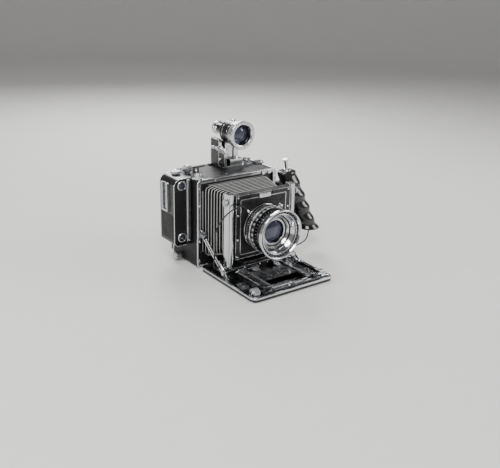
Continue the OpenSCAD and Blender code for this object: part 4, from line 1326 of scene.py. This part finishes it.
@dataclass
class Bed:
    """The drop bed: plate, rim, guides, scales, struts and focusing drive."""

    top: float = 3.0
    guide_top: float = 16.7
    marks: int = 24
    half: tuple[float, float] = (86.5, 81.75)
    middle_y: float = -136.25
    corner: float = 10.0

    def build(self) -> None:
        """Builds the bed's pieces."""
        plate = refined("bed_plate", ENAMEL, 0.2)
        self.cover_underside(plate)
        refined("bed_rim", ENAMEL, 1.1)
        self.rim_beads()
        for node, finish, edge in (("bed_guides", ENAMEL, 0.45), ("scale_plate", SATIN, 0.5),
                                   ("bed_pins", CHROME, 0.4), ("strut_left", CHROME, 0.4),
                                   ("strut_right", CHROME, 0.4), ("pinion_shaft", SATIN, 0.1),
                                   ("focus_knob_left", SATIN, 0.3), ("focus_knob_right", SATIN, 0.3),
                                   ("focus_lock", SATIN, 0.4)):
            refined(node, finish, edge)
        self.knob_caps()
        self.graduations()
        self.plate_lines()
        self.bed_screws()

    def rim_beads(self) -> None:
        """Rolls a plated cap over the rim's top and a plated bead round its foot."""
        cap = [(-0.2, 6.2), (-0.2, 8.4), (0.1, 8.9), (0.6, 9.15), (5.0, 9.15), (5.5, 8.9), (5.7, 8.4),
               (5.7, 5.0),
               (5.2, 5.0), (5.2, 6.2)]
        foot = [(-0.2, 0.4), (-0.25, 1.4), (0.1, 2.0), (0.6, 2.0), (0.6, 0.4)]
        centre = (0.0, self.middle_y, 0.0)
        parts = [Part.rim("bead", self.half, self.corner, centre, outline, CHROME, "Z") for outline in (cap,
                                                                                                        foot)]
        ride(Part.join("rim_beads", parts), "bed", slot="chrome")

    def cover_underside(self, plate: bpy.types.Object) -> None:
        """Gives the plate's underside its leather."""
        plate.data.materials.append(HIDE.material())
        for face in plate.data.polygons:
            if face.normal.z < -0.5:
                face.material_index = 1

    def knob_caps(self) -> None:
        """Turns a bright dished cap on each focusing knob."""
        for name, x, way in (("knob_cap_left", -78.7, -1.0), ("knob_cap_right", 78.7, 1.0)):
            cap = Part.lathe(name,
                             [(x, 0.0), (x, 6.2), (x + way * 0.5, 6.0), (x + way * 0.5, 4.6),
                              (x + way * 0.1, 4.2),
                                    (x + way * 0.1, 1.8), (x + way * 0.6, 1.5), (x + way * 0.6, 0.0)],
                             (0.0, -200.0, 9.8), CHROME, axis="X", steps=40, soften_mm=0.1)
            ride(cap, "focus_drive", slot="chrome")

    def graduations(self) -> None:
        """Fills the focusing scale's marks beside the left rail and on the scale plate."""
        mark = Part.slab("mark", (-1.5, -0.16, 0.0), (1.5, 0.16, 0.08), FILLED, 0.02)
        place = Matrix.Translation((-0.0552, -0.190, self.guide_top * MM))
        ride(Repeater.row("guide_marks", mark, self.marks, FILLED, shift=(0.0, 2.5, 0.0), place=place), "bed",
             slot="lock_white")
        mark = Part.slab("mark", (-2.6, -0.2, 0.0), (2.6, 0.2, 0.08), ENAMEL, 0.02)
        place = Matrix.Translation((-0.066, -0.1625, 0.008))
        ride(Repeater.row("scale_marks", mark, 6, ENAMEL, shift=(0.0, 1.5, 0.0), place=place), "bed",
             slot="black_lacquer")

    def plate_lines(self) -> None:
        """Lays plated strips on the plate, along the guides and on the front bar."""
        strips = [Part.slab("line", (s * x - 0.4, -205.0, self.guide_top - 0.3),
                            (s * x + 0.4, -64.0, self.guide_top + 0.2),
                            CHROME, 0.15) for s in (-1, 1) for x in (50.4, 57.2)]
        strips += [Part.slab("bar_cap", (-61.6, -211.9, 11.8), (61.6, -207.5, 12.15), CHROME, 0.15),
                   Part.slab("bar_line", (-61.6, -212.3, 6.0), (61.6, -211.8, 7.6), CHROME, 0.2)]
        strips += [Part.slab("strip", (s * 61.0 - 0.6, -188.0, self.top - 0.2),
                             (s * 61.0 + 0.6, -70.0, self.top + 0.5),
                            CHROME, 0.2) for s in (-1, 1)]
        ride(Part.join("plate_strips", strips), "bed", slot="chrome")
        rib = Part.slab("rib", (-42.5, -0.7, -0.2), (42.5, 0.7, 0.5), SATIN, 0.2)
        place = Matrix.Translation((0, -0.2045, self.top * MM))
        ride(Repeater.row("well_ribs", rib, 10, SATIN, shift=(0.0, 3.0, 0.0), place=place), "bed",
             slot="chrome")

    def bed_screws(self) -> None:
        """Sets the screws of the guides and of the front bar."""
        spots = [(s * 53.6, y, 0.0) for s in (-1, 1) for y in (-203.0, -178.0, -150.0, -90.0, -68.0)]
        place = Matrix.Translation((0, 0, (self.guide_top - 0.55) * MM))
        ride(Repeater.at("guide_screws", slotted_screw(1.7, 0.7), spots, SATIN, 33.0, place), "bed",
             slot="chrome")


@dataclass
class FrontStandard:
    """The carriage on its rails, the standard's base and its columns."""

    edge_mm: float = 0.7

    def build(self) -> None:
        """Builds the carriage and standard."""
        refined("carriage_rails", SATIN, 0.2)
        refined("carriage_plate", ENAMEL, 0.25)
        refined("standard_base", ENAMEL, self.edge_mm)
        refined("standard_columns", CHROME, self.edge_mm)
        for node, finish, edge in (("standard_clamps", CHROME, 0.6), ("rise_knob", SATIN, 0.25),
                                   ("rise_lock", SATIN, 0.25)):
            refined(node, finish, edge)
        self.column_reflection_bands()
        self.base_edges()
        self.racks()
        self.plate_lines()

    def plate_lines(self) -> None:
        """Inlays fine bright lines across the carriage's plate."""
        line = Part.slab("line", (-34.0, -0.3, -0.2), (34.0, 0.3, 0.12), CHROME, 0.05)
        place = Matrix.Translation((0, -0.1765, 0.015))
        ride(Repeater.row("carriage_lines", line, 13, CHROME, shift=(0.0, 3.0, 0.0), place=place), "carriage",
             slot="chrome")

    def racks(self) -> None:
        """Marks the racks along the rails as rows of black strips, painted shade where the tooth gaps lie."""
        for name, low, high in (("rack_left", -48.4, -43.6), ("rack_right", 43.6, 48.4)):
            # Each black strip is painted shade standing for a recess between two teeth.
            gap = Part.slab("gap", (low, -0.35, -0.2), (high, 0.35, 0.06), BLACKING, 0.03)
            place = Matrix.Translation((0, -0.2015, 0.017))
            ride(Repeater.row(name, gap, 44, BLACKING, shift=(0.0, 1.6, 0.0), place=place), "carriage",
                 slot="black_lacquer")

    def column_reflection_bands(self) -> None:
        """Lays black strips down the columns, painted dark reflection bands on their rounded chrome."""
        # Black strips that paint the dark reflections a rounded chrome column shows.
        dark_reflection_strips = [Part.slab("inlay", (s * x - 0.35, y, 30.0), (s * x + 0.35, y + 1.0, 154.0), BLACKING, 0.1)
                  for s in (-1, 1) for x, y in ((60.9, -121.3), (62.5, -122.4), (70.2, -121.2))]
        ride(Part.join("column_inlays", dark_reflection_strips), "carriage", slot="black_lacquer")

    def base_edges(self) -> None:
        """Adds plated edges and screws on the standard's base."""
        edges = [Part.slab("edge", (-61.5, -128.7, 17.4), (-31.5, -127.8, 18.8), CHROME, 0.3),
                 Part.slab("edge", (31.5, -128.7, 17.4), (45.5, -127.8, 18.8), CHROME, 0.3),
                 Part.slab("edge", (-61.5, -128.7, 25.4), (61.5, -127.8, 26.8), CHROME, 0.3),
                 Part.slab("edge", (-43.6, -127.6, 31.6), (43.6, -126.8, 32.8), CHROME, 0.3)]
        ride(Part.join("base_edges", edges), "carriage", slot="chrome")
        place = facing("-Y", (0.0, -127.9, 0.0))
        spots = [place.inverted() @ Vector((x * MM, -0.1279, 0.0222)) for x in (-40.0, -8.0, 8.0, 40.0)]
        ride(Repeater.at("base_screws", slotted_screw(1.9, 0.8), [tuple(s / MM) for s in spots], CHROME,
                         29.0, place),
             "carriage", slot="chrome")


@dataclass
class LensPanel:
    """The lens board in its frame, with the latch."""

    board: float = -123.0
    half: float = 49.0
    low: float = 45.0
    high: float = 146.0

    def build(self) -> None:
        """Builds the panel."""
        for node, finish, edge in (("lens_frame", ENAMEL, 0.6), ("lens_board", WRINKLE, 0.25),
                                   ("board_latch", CHROME, 0.5)):
            refined(node, finish, edge)
        middle = (0.0, 0.0, (self.low + self.high) / 2)
        half = (self.half, (self.high - self.low) / 2)
        lip = [(0.0, self.board + 0.5), (0.0, self.board - 0.1), (0.5, self.board - 0.25),
               (1.2, self.board - 0.15),
               (1.4, self.board + 0.5)]
        ride(Part.rim("board_lip", half, 1.6, middle, lip, CHROME), "lens_panel", slot="chrome")
        outer = [(0.3, self.board + 0.5), (0.3, self.board - 0.1), (0.7, self.board - 0.22),
                 (1.1, self.board - 0.1),
                 (1.1, self.board + 0.5)]
        ride(Part.rim("frame_lip", (58.6, 58.0), 2.0, (0.0, 0.0, 96.0), outer, CHROME), "lens_panel",
             slot="chrome")
        self.corner_screws()
        self.ribs()

    def ribs(self) -> None:
        """Raises fine level ribs over the board, in rows that stop short of the lens's bore."""
        pitch = 1.6
        for name, low, high, z, count in (("board_ribs_top", -46.6, 46.6, 114.0, 18),
                                          ("board_ribs_foot", -46.6, 46.6, 48.0, 11),
                                          ("board_ribs_left", -46.6, -30.0, 65.6, 30),
                                          ("board_ribs_right", 30.0, 46.6, 65.6, 30)):
            rib = Part.slab("rib", (low, -0.45, -0.42), (high, 0.3, 0.42), ENAMEL, 0.2)
            place = Matrix.Translation((0, self.board * MM, z * MM))
            ride(Repeater.row(name, rib, count, ENAMEL, shift=(0.0, 0.0, pitch), place=place), "lens_panel",
                 slot="black_lacquer")

    def corner_screws(self) -> None:
        """Sets screws at the frame's corners and sides."""
        place = facing("-Y", (0.0, self.board + 0.1, 0.0))
        spots = [(x, z) for x in (-53.8, 53.8) for z in (42.5, 74.0, 118.0, 150.0)]
        local = [place.inverted() @ Vector((x * MM, (self.board + 0.1) * MM, z * MM)) for x, z in spots]
        ride(Repeater.at("panel_screws", slotted_screw(1.8, 0.6), [tuple(s / MM) for s in local], CHROME,
                         47.0, place),
             "lens_panel", slot="chrome")


@dataclass
class Lens:
    """The lens in its shutter: case, rings, lever, barrel, glasses and iris."""

    z: float = 89.6
    seat: float = -149.0
    scallops: int = 28
    blades: int = 10

    @property
    def centre(self) -> Point:
        """A point on the lens axis."""
        return (0.0, 0.0, self.z)

    def ring_at(self, name: str, part: bpy.types.Object, count: int, y: float, finish: Finish, body: str,
                slot: str, sweep: float = 360.0, start: float = 0.0) -> bpy.types.Object:
        """Repeats a part round the lens axis and rides the result on a body.

        Args:
            name: the result's name.
            part: a part whose Z is along the axis, forwards.
            count: how many.
            y: place along the axis.
            finish: the finish.
            body: the body.
            slot: the record's slot.
            sweep: the whole turn.
            start: the first one's angle.

        Returns:
            The ring of parts.
        """
        place = (Matrix.Translation((0, y * MM, self.z * MM)) @ Matrix.Rotation(math.radians(90), 4, "X")
                 @ Matrix.Rotation(math.radians(start), 4, "Z"))
        return ride(Repeater.row(name, part, count, finish, turn=sweep / count, place=place), body, slot=slot)

    def build(self) -> None:
        """Builds the lens."""
        self.case()
        self.rings()
        self.lever()
        self.barrel()
        self.glasses()
        self.iris()
        refined("rear_barrel", ANODISED, 0.4)

    def case(self) -> None:
        """Turns the shutter's case with its cable socket."""
        case = Part.lathe("case",
                          [(-123.0, 24.05), (-123.0, 41.0), (-128.4, 41.0), (-129.0, 40.4), (-129.0, 40.0),
                                   (-143.5, 40.0), (-143.5, 30.1), (-141.6, 30.1), (-141.6, 24.05)],
                          self.centre, ENAMEL)
        socket = Part.lathe("socket",
                            [(39.0, 0.0), (39.0, 2.8), (42.2, 2.8), (42.6, 3.2), (45.2, 3.2), (45.5, 2.8),
                                       (45.5, 0.0)], (0.0, 0.0, 0.0), CHROME, axis="Z", steps=24)
        socket.data.transform(Matrix.Translation((0, -0.126,
                                                  self.z * MM)) @ Matrix.Rotation(math.radians(-45), 4, "Y"))
        ride(Part.join("shutter_case", [case, socket]), "lens_panel", "shutter_body", slot="black_lacquer")
        flange = Part.lathe("case_flange_ring",
                            [(-123.2, 41.0), (-123.2, 42.0), (-124.6, 42.0), (-125.0, 41.0)],
                            self.centre, CHROME)
        ride(flange, "lens_panel", slot="chrome")

    def rings(self) -> None:
        """Turns the aperture ring and the speed ring and adds their grips and marks."""
        ring = Part.lathe("ring",
                          [(-134.5, 40.1), (-134.5, 41.9), (-133.9, 42.3), (-133.3, 41.8), (-130.6, 41.8),
                                   (-130.0, 42.3), (-129.3, 41.9), (-129.3, 40.1)], self.centre, ENAMEL,
                          steps=120)
        tab = Part.slab("tab", (41.4, -2.4, -2.2), (46.2, 2.4, 2.2), CHROME, 0.6)
        tab.data.transform(Matrix.Translation((0, -0.1319,
                                               self.z * MM)) @ Matrix.Rotation(math.radians(-190), 4, "Y")
                           @ Matrix.Rotation(math.radians(90), 4, "X"))
        ride(Part.join("aperture_ring_made", [ring, tab]), "aperture_ring", "aperture_ring",
             slot="black_lacquer")
        self.ring_at("aperture_marks", Part.slab("mark", (41.7, -0.2, -1.0), (41.9, 0.2, 1.0), FILLED, 0.02),
                     40,
                     -132.0, FILLED, "aperture_ring", "lock_white", 200.0, 20.0)
        ring = Part.lathe("speed_ring_made", [(-150.3, 30.1), (-150.3, 34.0), (-149.9, 34.4), (-149.9, 38.4),
                          (-150.3, 38.8), (-150.3, 40.6), (-149.6, 41.6), (-144.6, 41.6), (-143.8, 40.8),
                          (-143.8, 30.1)], self.centre, ENAMEL, steps=120)
        ride(ring, "speed_ring", "speed_ring", slot="black_lacquer")
        scallop = Part.slab("scallop", (40.6, -2.5, -2.6), (42.75, 2.5, 2.6), SATIN, 1.0)
        self.ring_at("speed_scallops", scallop, self.scallops, -147.1, SATIN, "speed_ring", "chrome")
        self.ring_at("speed_marks",
                     Part.slab("mark", (35.0, -0.22, -0.05), (37.6, 0.22, 0.12), FILLED, 0.02), 24,
                     -149.9, FILLED, "speed_ring", "lock_white", 220.0, 60.0)

    def lever(self) -> None:
        """Turns the cocking ring with its arm and stud."""
        ring = Part.lathe("ring",
                          [(-141.0, 40.1), (-141.0, 41.9), (-140.4, 42.3), (-136.1, 42.3), (-135.5, 41.9),
                                   (-135.5, 40.1)], self.centre, SATIN, steps=120)
        arm = Part.slab("arm", (41.0, -2.6, 2.4), (49.2, 2.6, -0.4), CHROME, 0.7)
        stud = Part.lathe("stud",
                          [(1.6, 0.0), (1.6, 1.9), (5.0, 1.7), (5.4, 2.6), (8.2, 2.6), (8.9, 1.8),
                           (8.9, 0.0)],
                          (46.4, 0.0, 0.0), CHROME, axis="Z", steps=28)
        for piece in (arm, stud):
            piece.data.transform(Matrix.Translation((0, -0.1380,
                                                     self.z * MM)) @ Matrix.Rotation(math.radians(-62), 4,
                                                                                     "Y")
                                 @ Matrix.Rotation(math.radians(90), 4, "X"))
        ride(Part.join("cocking_lever_made", [ring, arm, stud]), "cocking_lever", "cocking_lever",
             slot="black_lacquer")
        lug = Part.slab("lug", (41.3, -2.3, -2.1), (42.85, 2.3, 2.1), CHROME, 0.8)
        self.ring_at("cocking_scallops", lug, self.scallops, -138.2, CHROME, "cocking_lever", "chrome")

    def barrel(self) -> None:
        """Turns the front barrel, its bright filter ring, the inner name ring and the retaining rings."""
        black = Part.lathe("barrel",
                           [(-143.5, 19.1), (-143.5, 30.0), (-151.3, 30.0), (-151.5, 35.2), (-152.2, 36.0),
                           (-157.6, 37.5), (-158.0, 38.7), (-161.0, 39.5), (-161.4, 38.8), (-166.2, 40.6),
                           (-167.5, 42.6), (-168.0, 43.6), (-169.6, 43.6), (-169.6, 41.2), (-170.7, 41.2),
                           (-170.7, 36.5), (-153.2, 22.5), (-153.0, 21.7), (-149.0, 21.7), (-149.0, 19.1)],
                           self.centre, ANODISED, steps=128)
        thread = [(y, 41.0 + 0.45 * (i % 2)) for i, y in enumerate([-174.9 + 0.45 * k for k in range(9)])]
        ring = Part.lathe("ring",
                          [(-169.6, 41.1), (-169.6, 43.7), (-170.2, 44.25), (-174.9, 44.25), (-175.7, 43.4),
                          (-175.7, 41.9), *thread, (-170.8, 41.1)], self.centre, CHROME, steps=128,
                          soften_mm=0.1)
        bright = [ring]
        for name, outline in (
                ("mouth", [(-171.2, 36.9), (-171.6, 36.2), (-171.2, 35.2), (-169.6, 34.6), (-169.4, 36.2)]),
                ("funnel", [(-168.6, 34.3), (-162.8, 29.5), (-162.4, 30.4), (-168.0, 35.2)]),
                ("inner_funnel", [(-160.8, 27.7), (-157.0, 24.8), (-156.6, 25.6), (-160.4, 28.9)]),
                ("retainer", [(-155.6, 24.2), (-155.8, 22.6), (-155.2, 20.7), (-154.4, 20.4), (-153.6, 21.2),
                              (-153.6, 23.2)]),
                ("collar", [(-158.2, 38.4), (-158.2, 39.3), (-159.6, 39.6), (-160.8, 39.9), (-160.8, 38.4)])):
            finish = CHROME if "funnel" in name else TURNED
            bright.append(Part.lathe(name, outline, self.centre, finish, steps=128, soften_mm=0.15))
        ride(Part.join("lens_barrel_made", [black, *bright]), "lens_panel", "lens_barrel",
             slot="black_lacquer")
        mark = Part.slab("mark", (38.0, -0.25, 0.0), (39.8, 0.25, 0.25), FILLED, 0.03)
        self.ring_at("name_ring_marks", mark, 40, -170.6, FILLED, "lens_panel", "lock_white")
        baffles = [Part.lathe("baffle", [(y, r), (y, 24.2), (y + 0.9, 24.2), (y + 0.9, r + 0.5)],
                              self.centre, TURNED,
                              steps=96, soften_mm=0.1) for y, r in ((-141.0, 18.0), (-137.5, 16.5))]
        ride(Part.join("lens_baffles", baffles), "lens_panel", slot="bright_alloy")

    def glasses(self) -> None:
        """Turns the coated front element and an inner element."""
        dome = [(self.seat - (45 * math.cos(a) - 38.03), 45 * math.sin(a))
                for a in (math.asin(21.5 / 45) * (1 - i / 12) for i in range(13))]
        front = Part.lathe("front_glass_made", [(self.seat, 0.0), (self.seat, 21.5), *dome], self.centre,
                           GLASS,
                           soften_mm=0.0)
        ride(front, "lens_panel", "front_glass", slot="lens_glass")
        bowl = [(-144.3 - 3.4 * math.cos(math.radians(a)), 18.9 * math.sin(math.radians(a)))
                for a in (90, 75, 60, 45, 30, 15, 0)]
        inner = Part.lathe("inner_glass", [(-143.7, 0.0), (-143.7, 18.9), *bowl], self.centre, GLASS,
                           soften_mm=0.0)
        ride(inner, "lens_panel", slot="lens_glass")

    def iris(self) -> None:
        """Lays the iris leaves round their opening."""
        shape = bmesh.new()
        outline = [(9.0, -6.0), (9.6, 4.0), (15.0, 12.0), (22.0, 9.0), (23.6, -2.0), (20.0, -11.0),
                   (13.0, -11.0)]
        low = [shape.verts.new((x * MM, y * MM, 0.0)) for x, y in outline]
        high = [shape.verts.new((x * MM, y * MM, 0.15 * MM)) for x, y in outline]
        shape.faces.new(low)
        shape.faces.new(high)
        for k in range(len(outline)):
            n = (k + 1) % len(outline)
            shape.faces.new((low[k], low[n], high[n], high[k]))
        leaf = Part.from_bmesh("leaf", shape, BLUED)
        leaf.data.transform(Matrix.Rotation(math.radians(4), 4, "X"))
        place = Matrix.Translation((0, -0.1335, self.z * MM)) @ Matrix.Rotation(math.radians(90), 4, "X")
        ride(Repeater.row("iris_leaves", leaf, self.blades, BLUED, turn=360 / self.blades, place=place),
             "lens_panel", "aperture_blades", slot="blade_steel")


@dataclass
class Back:
    """The sliding back, its focusing screen and the hood's lid."""

    face: float = 43.3
    lines: int = 9

    def build(self) -> None:
        """Builds the back."""
        for node, finish, edge in (("back_frame", ENAMEL, 0.8), ("focus_screen", SCREEN, 0.2),
                                   ("hood_lid", HIDE, 0.9)):
            refined(node, finish, edge)
        border = [(0.0, 58.4), (0.0, 57.9), (0.6, 58.8), (4.4, 58.8), (5.0, 58.4), (5.0, 57.9)]
        ride(Part.rim("lid_border", (65.2, 52.2), 4.0, (0.0, 0.0, 83.0), border, CHROME), "hood_lid",
             slot="chrome")
        tongue = Part.slab("lid_catch", (-9.0, 58.0, 31.0), (9.0, 60.2, 37.0), CHROME, 0.7)
        ride(tongue, "hood_lid", slot="chrome")
        line = Part.slab("line", (-60.0, 0.0, -0.12), (60.0, 0.08, 0.12), ENAMEL, 0.02)
        place = Matrix.Translation((0, (self.face + 4.5) * MM, 0.043))
        ride(Repeater.row("screen_lines", line, self.lines, ENAMEL, shift=(0.0, 0.0, 10.0), place=place),
             "back",
             slot="black_lacquer")
        place = facing("Y", (0.0, self.face + 8.9, 0.0))
        spots = [place.inverted() @ Vector((x * MM, (self.face + 8.9) * MM, z * MM))
                 for x in (-78.0, 78.0) for z in (15.0, 83.0, 151.0)]
        ride(Repeater.at("back_screws", slotted_screw(2.4, 0.8), [tuple(s / MM) for s in spots], CHROME,
                         61.0, place),
             "back", slot="chrome")


@dataclass
class Studio:
    """The floor, the lights and the camera."""

    focal_mm: float = 49.21
    azimuth: float = -36.88
    elevation: float = 19.88
    roll: float = 1.59
    eye: Point = (-684.8, -1017.7, 497.6)
    shift: tuple[float, float] = (-0.0139, -0.0163)

    def build(self) -> None:
        """Builds the studio."""
        self.floor()
        self.world()
        self.camera()
        self.lamp("key", (-0.9, -1.1, 1.5), 0.9, 36.0)
        self.lamp("fill", (1.3, -0.9, 0.8), 0.8, 14.0)
        self.lamp("rim", (0.5, 1.3, 1.2), 0.8, 30.0)
        self.lamp("side", (-1.5, 0.3, 0.5), 0.5, 12.0)
        self.lamp("overhead", (0.0, 0.3, 3.2), 3.0, 34.0)

    def floor(self) -> None:
        """Lays the pale round floor, which curves up into a wall all round."""
        arc = [(3.2 + 1.3 * math.sin(math.radians(a)),
                1.3 - 1.3 * math.cos(math.radians(a))) for a in range(10, 91, 10)]
        profile = [(0.02, 0.0), (1.6, 0.0), (3.2, 0.0), *arc, (4.5, 4.2)]
        sides = 96
        shape = bmesh.new()
        rings = [[shape.verts.new((r * math.cos(math.tau * k / sides), r * math.sin(math.tau * k / sides), z))
                  for k in range(sides)] for r, z in profile]
        shape.faces.new(rings[0])
        for near, far in zip(rings, rings[1:]):
            for k in range(sides):
                n = (k + 1) % sides
                shape.faces.new((near[k], near[n], far[n], far[k]))
        floor = Part.from_bmesh("studio_floor", shape, PAPER)

    def world(self) -> None:
        """Sets the room's soft light."""
        world = bpy.data.worlds.new("room")
        bpy.context.scene.world = world
        world.use_nodes = True
        tree = world.node_tree
        sky = tree.nodes["Background"]
        sky.inputs["Color"].default_value = linear("DDE1E6")
        sky.inputs["Strength"].default_value = 0.14

    def camera(self) -> None:
        """Sets the camera."""
        az, el, roll = (math.radians(v) for v in (self.azimuth, self.elevation, self.roll))
        back = Vector((math.sin(az) * math.cos(el), -math.cos(az) * math.cos(el), math.sin(el)))
        right = Vector((math.cos(az), math.sin(az), 0.0))
        up = back.cross(right)
        right, up = (right * math.cos(roll) + up * math.sin(roll),
                     up * math.cos(roll) - right * math.sin(roll))
        data = bpy.data.cameras.new("camera")
        data.lens, data.sensor_width = self.focal_mm, 36.0
        data.shift_x, data.shift_y = self.shift
        camera = bpy.data.objects.new("camera", data)
        camera.matrix_world = Matrix.Translation(Vector(self.eye) * MM) @ Matrix(
            (right, up, back)).transposed().to_4x4()
        bpy.context.scene.collection.objects.link(camera)
        bpy.context.scene.camera = camera

    def lamp(self, name: str, place: Point, size: float, power: float) -> None:
        """Hangs one soft lamp aimed at the object.

        Args:
            name: the lamp's name.
            place: where it hangs, in metres.
            size: its side.
            power: its power in watts.
        """
        data = bpy.data.lights.new(name, "AREA")
        data.energy, data.size = power, size
        lamp = bpy.data.objects.new(name, data)
        lamp.location = place
        lamp.rotation_mode = "QUATERNION"
        lamp.rotation_quaternion = (Vector(place) - Vector((0, -0.08, 0.1))).to_track_quat("Z", "Y")
        bpy.context.scene.collection.objects.link(lamp)


def main() -> None:
    """Builds the studio and the camera's sub-assemblies in order."""
    logging.basicConfig(level=logging.INFO, format="%(name)s: %(message)s")
    FRAME.update(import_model())
    for body, nodes in FRAME["record"]["behaviour"]["bodies"].items():
        BODY_OF.update({node: body for node in nodes})
    for assembly in (Studio(), Cable(), BodyCase(), Rangefinder(), Finder(), HandGrip(), Bellows(), Bed(),
                     FrontStandard(), LensPanel(), Lens(), Back()):
        LOG.info("building %s", type(assembly).__name__)
        assembly.build()


if __name__ == "__main__":
    main()
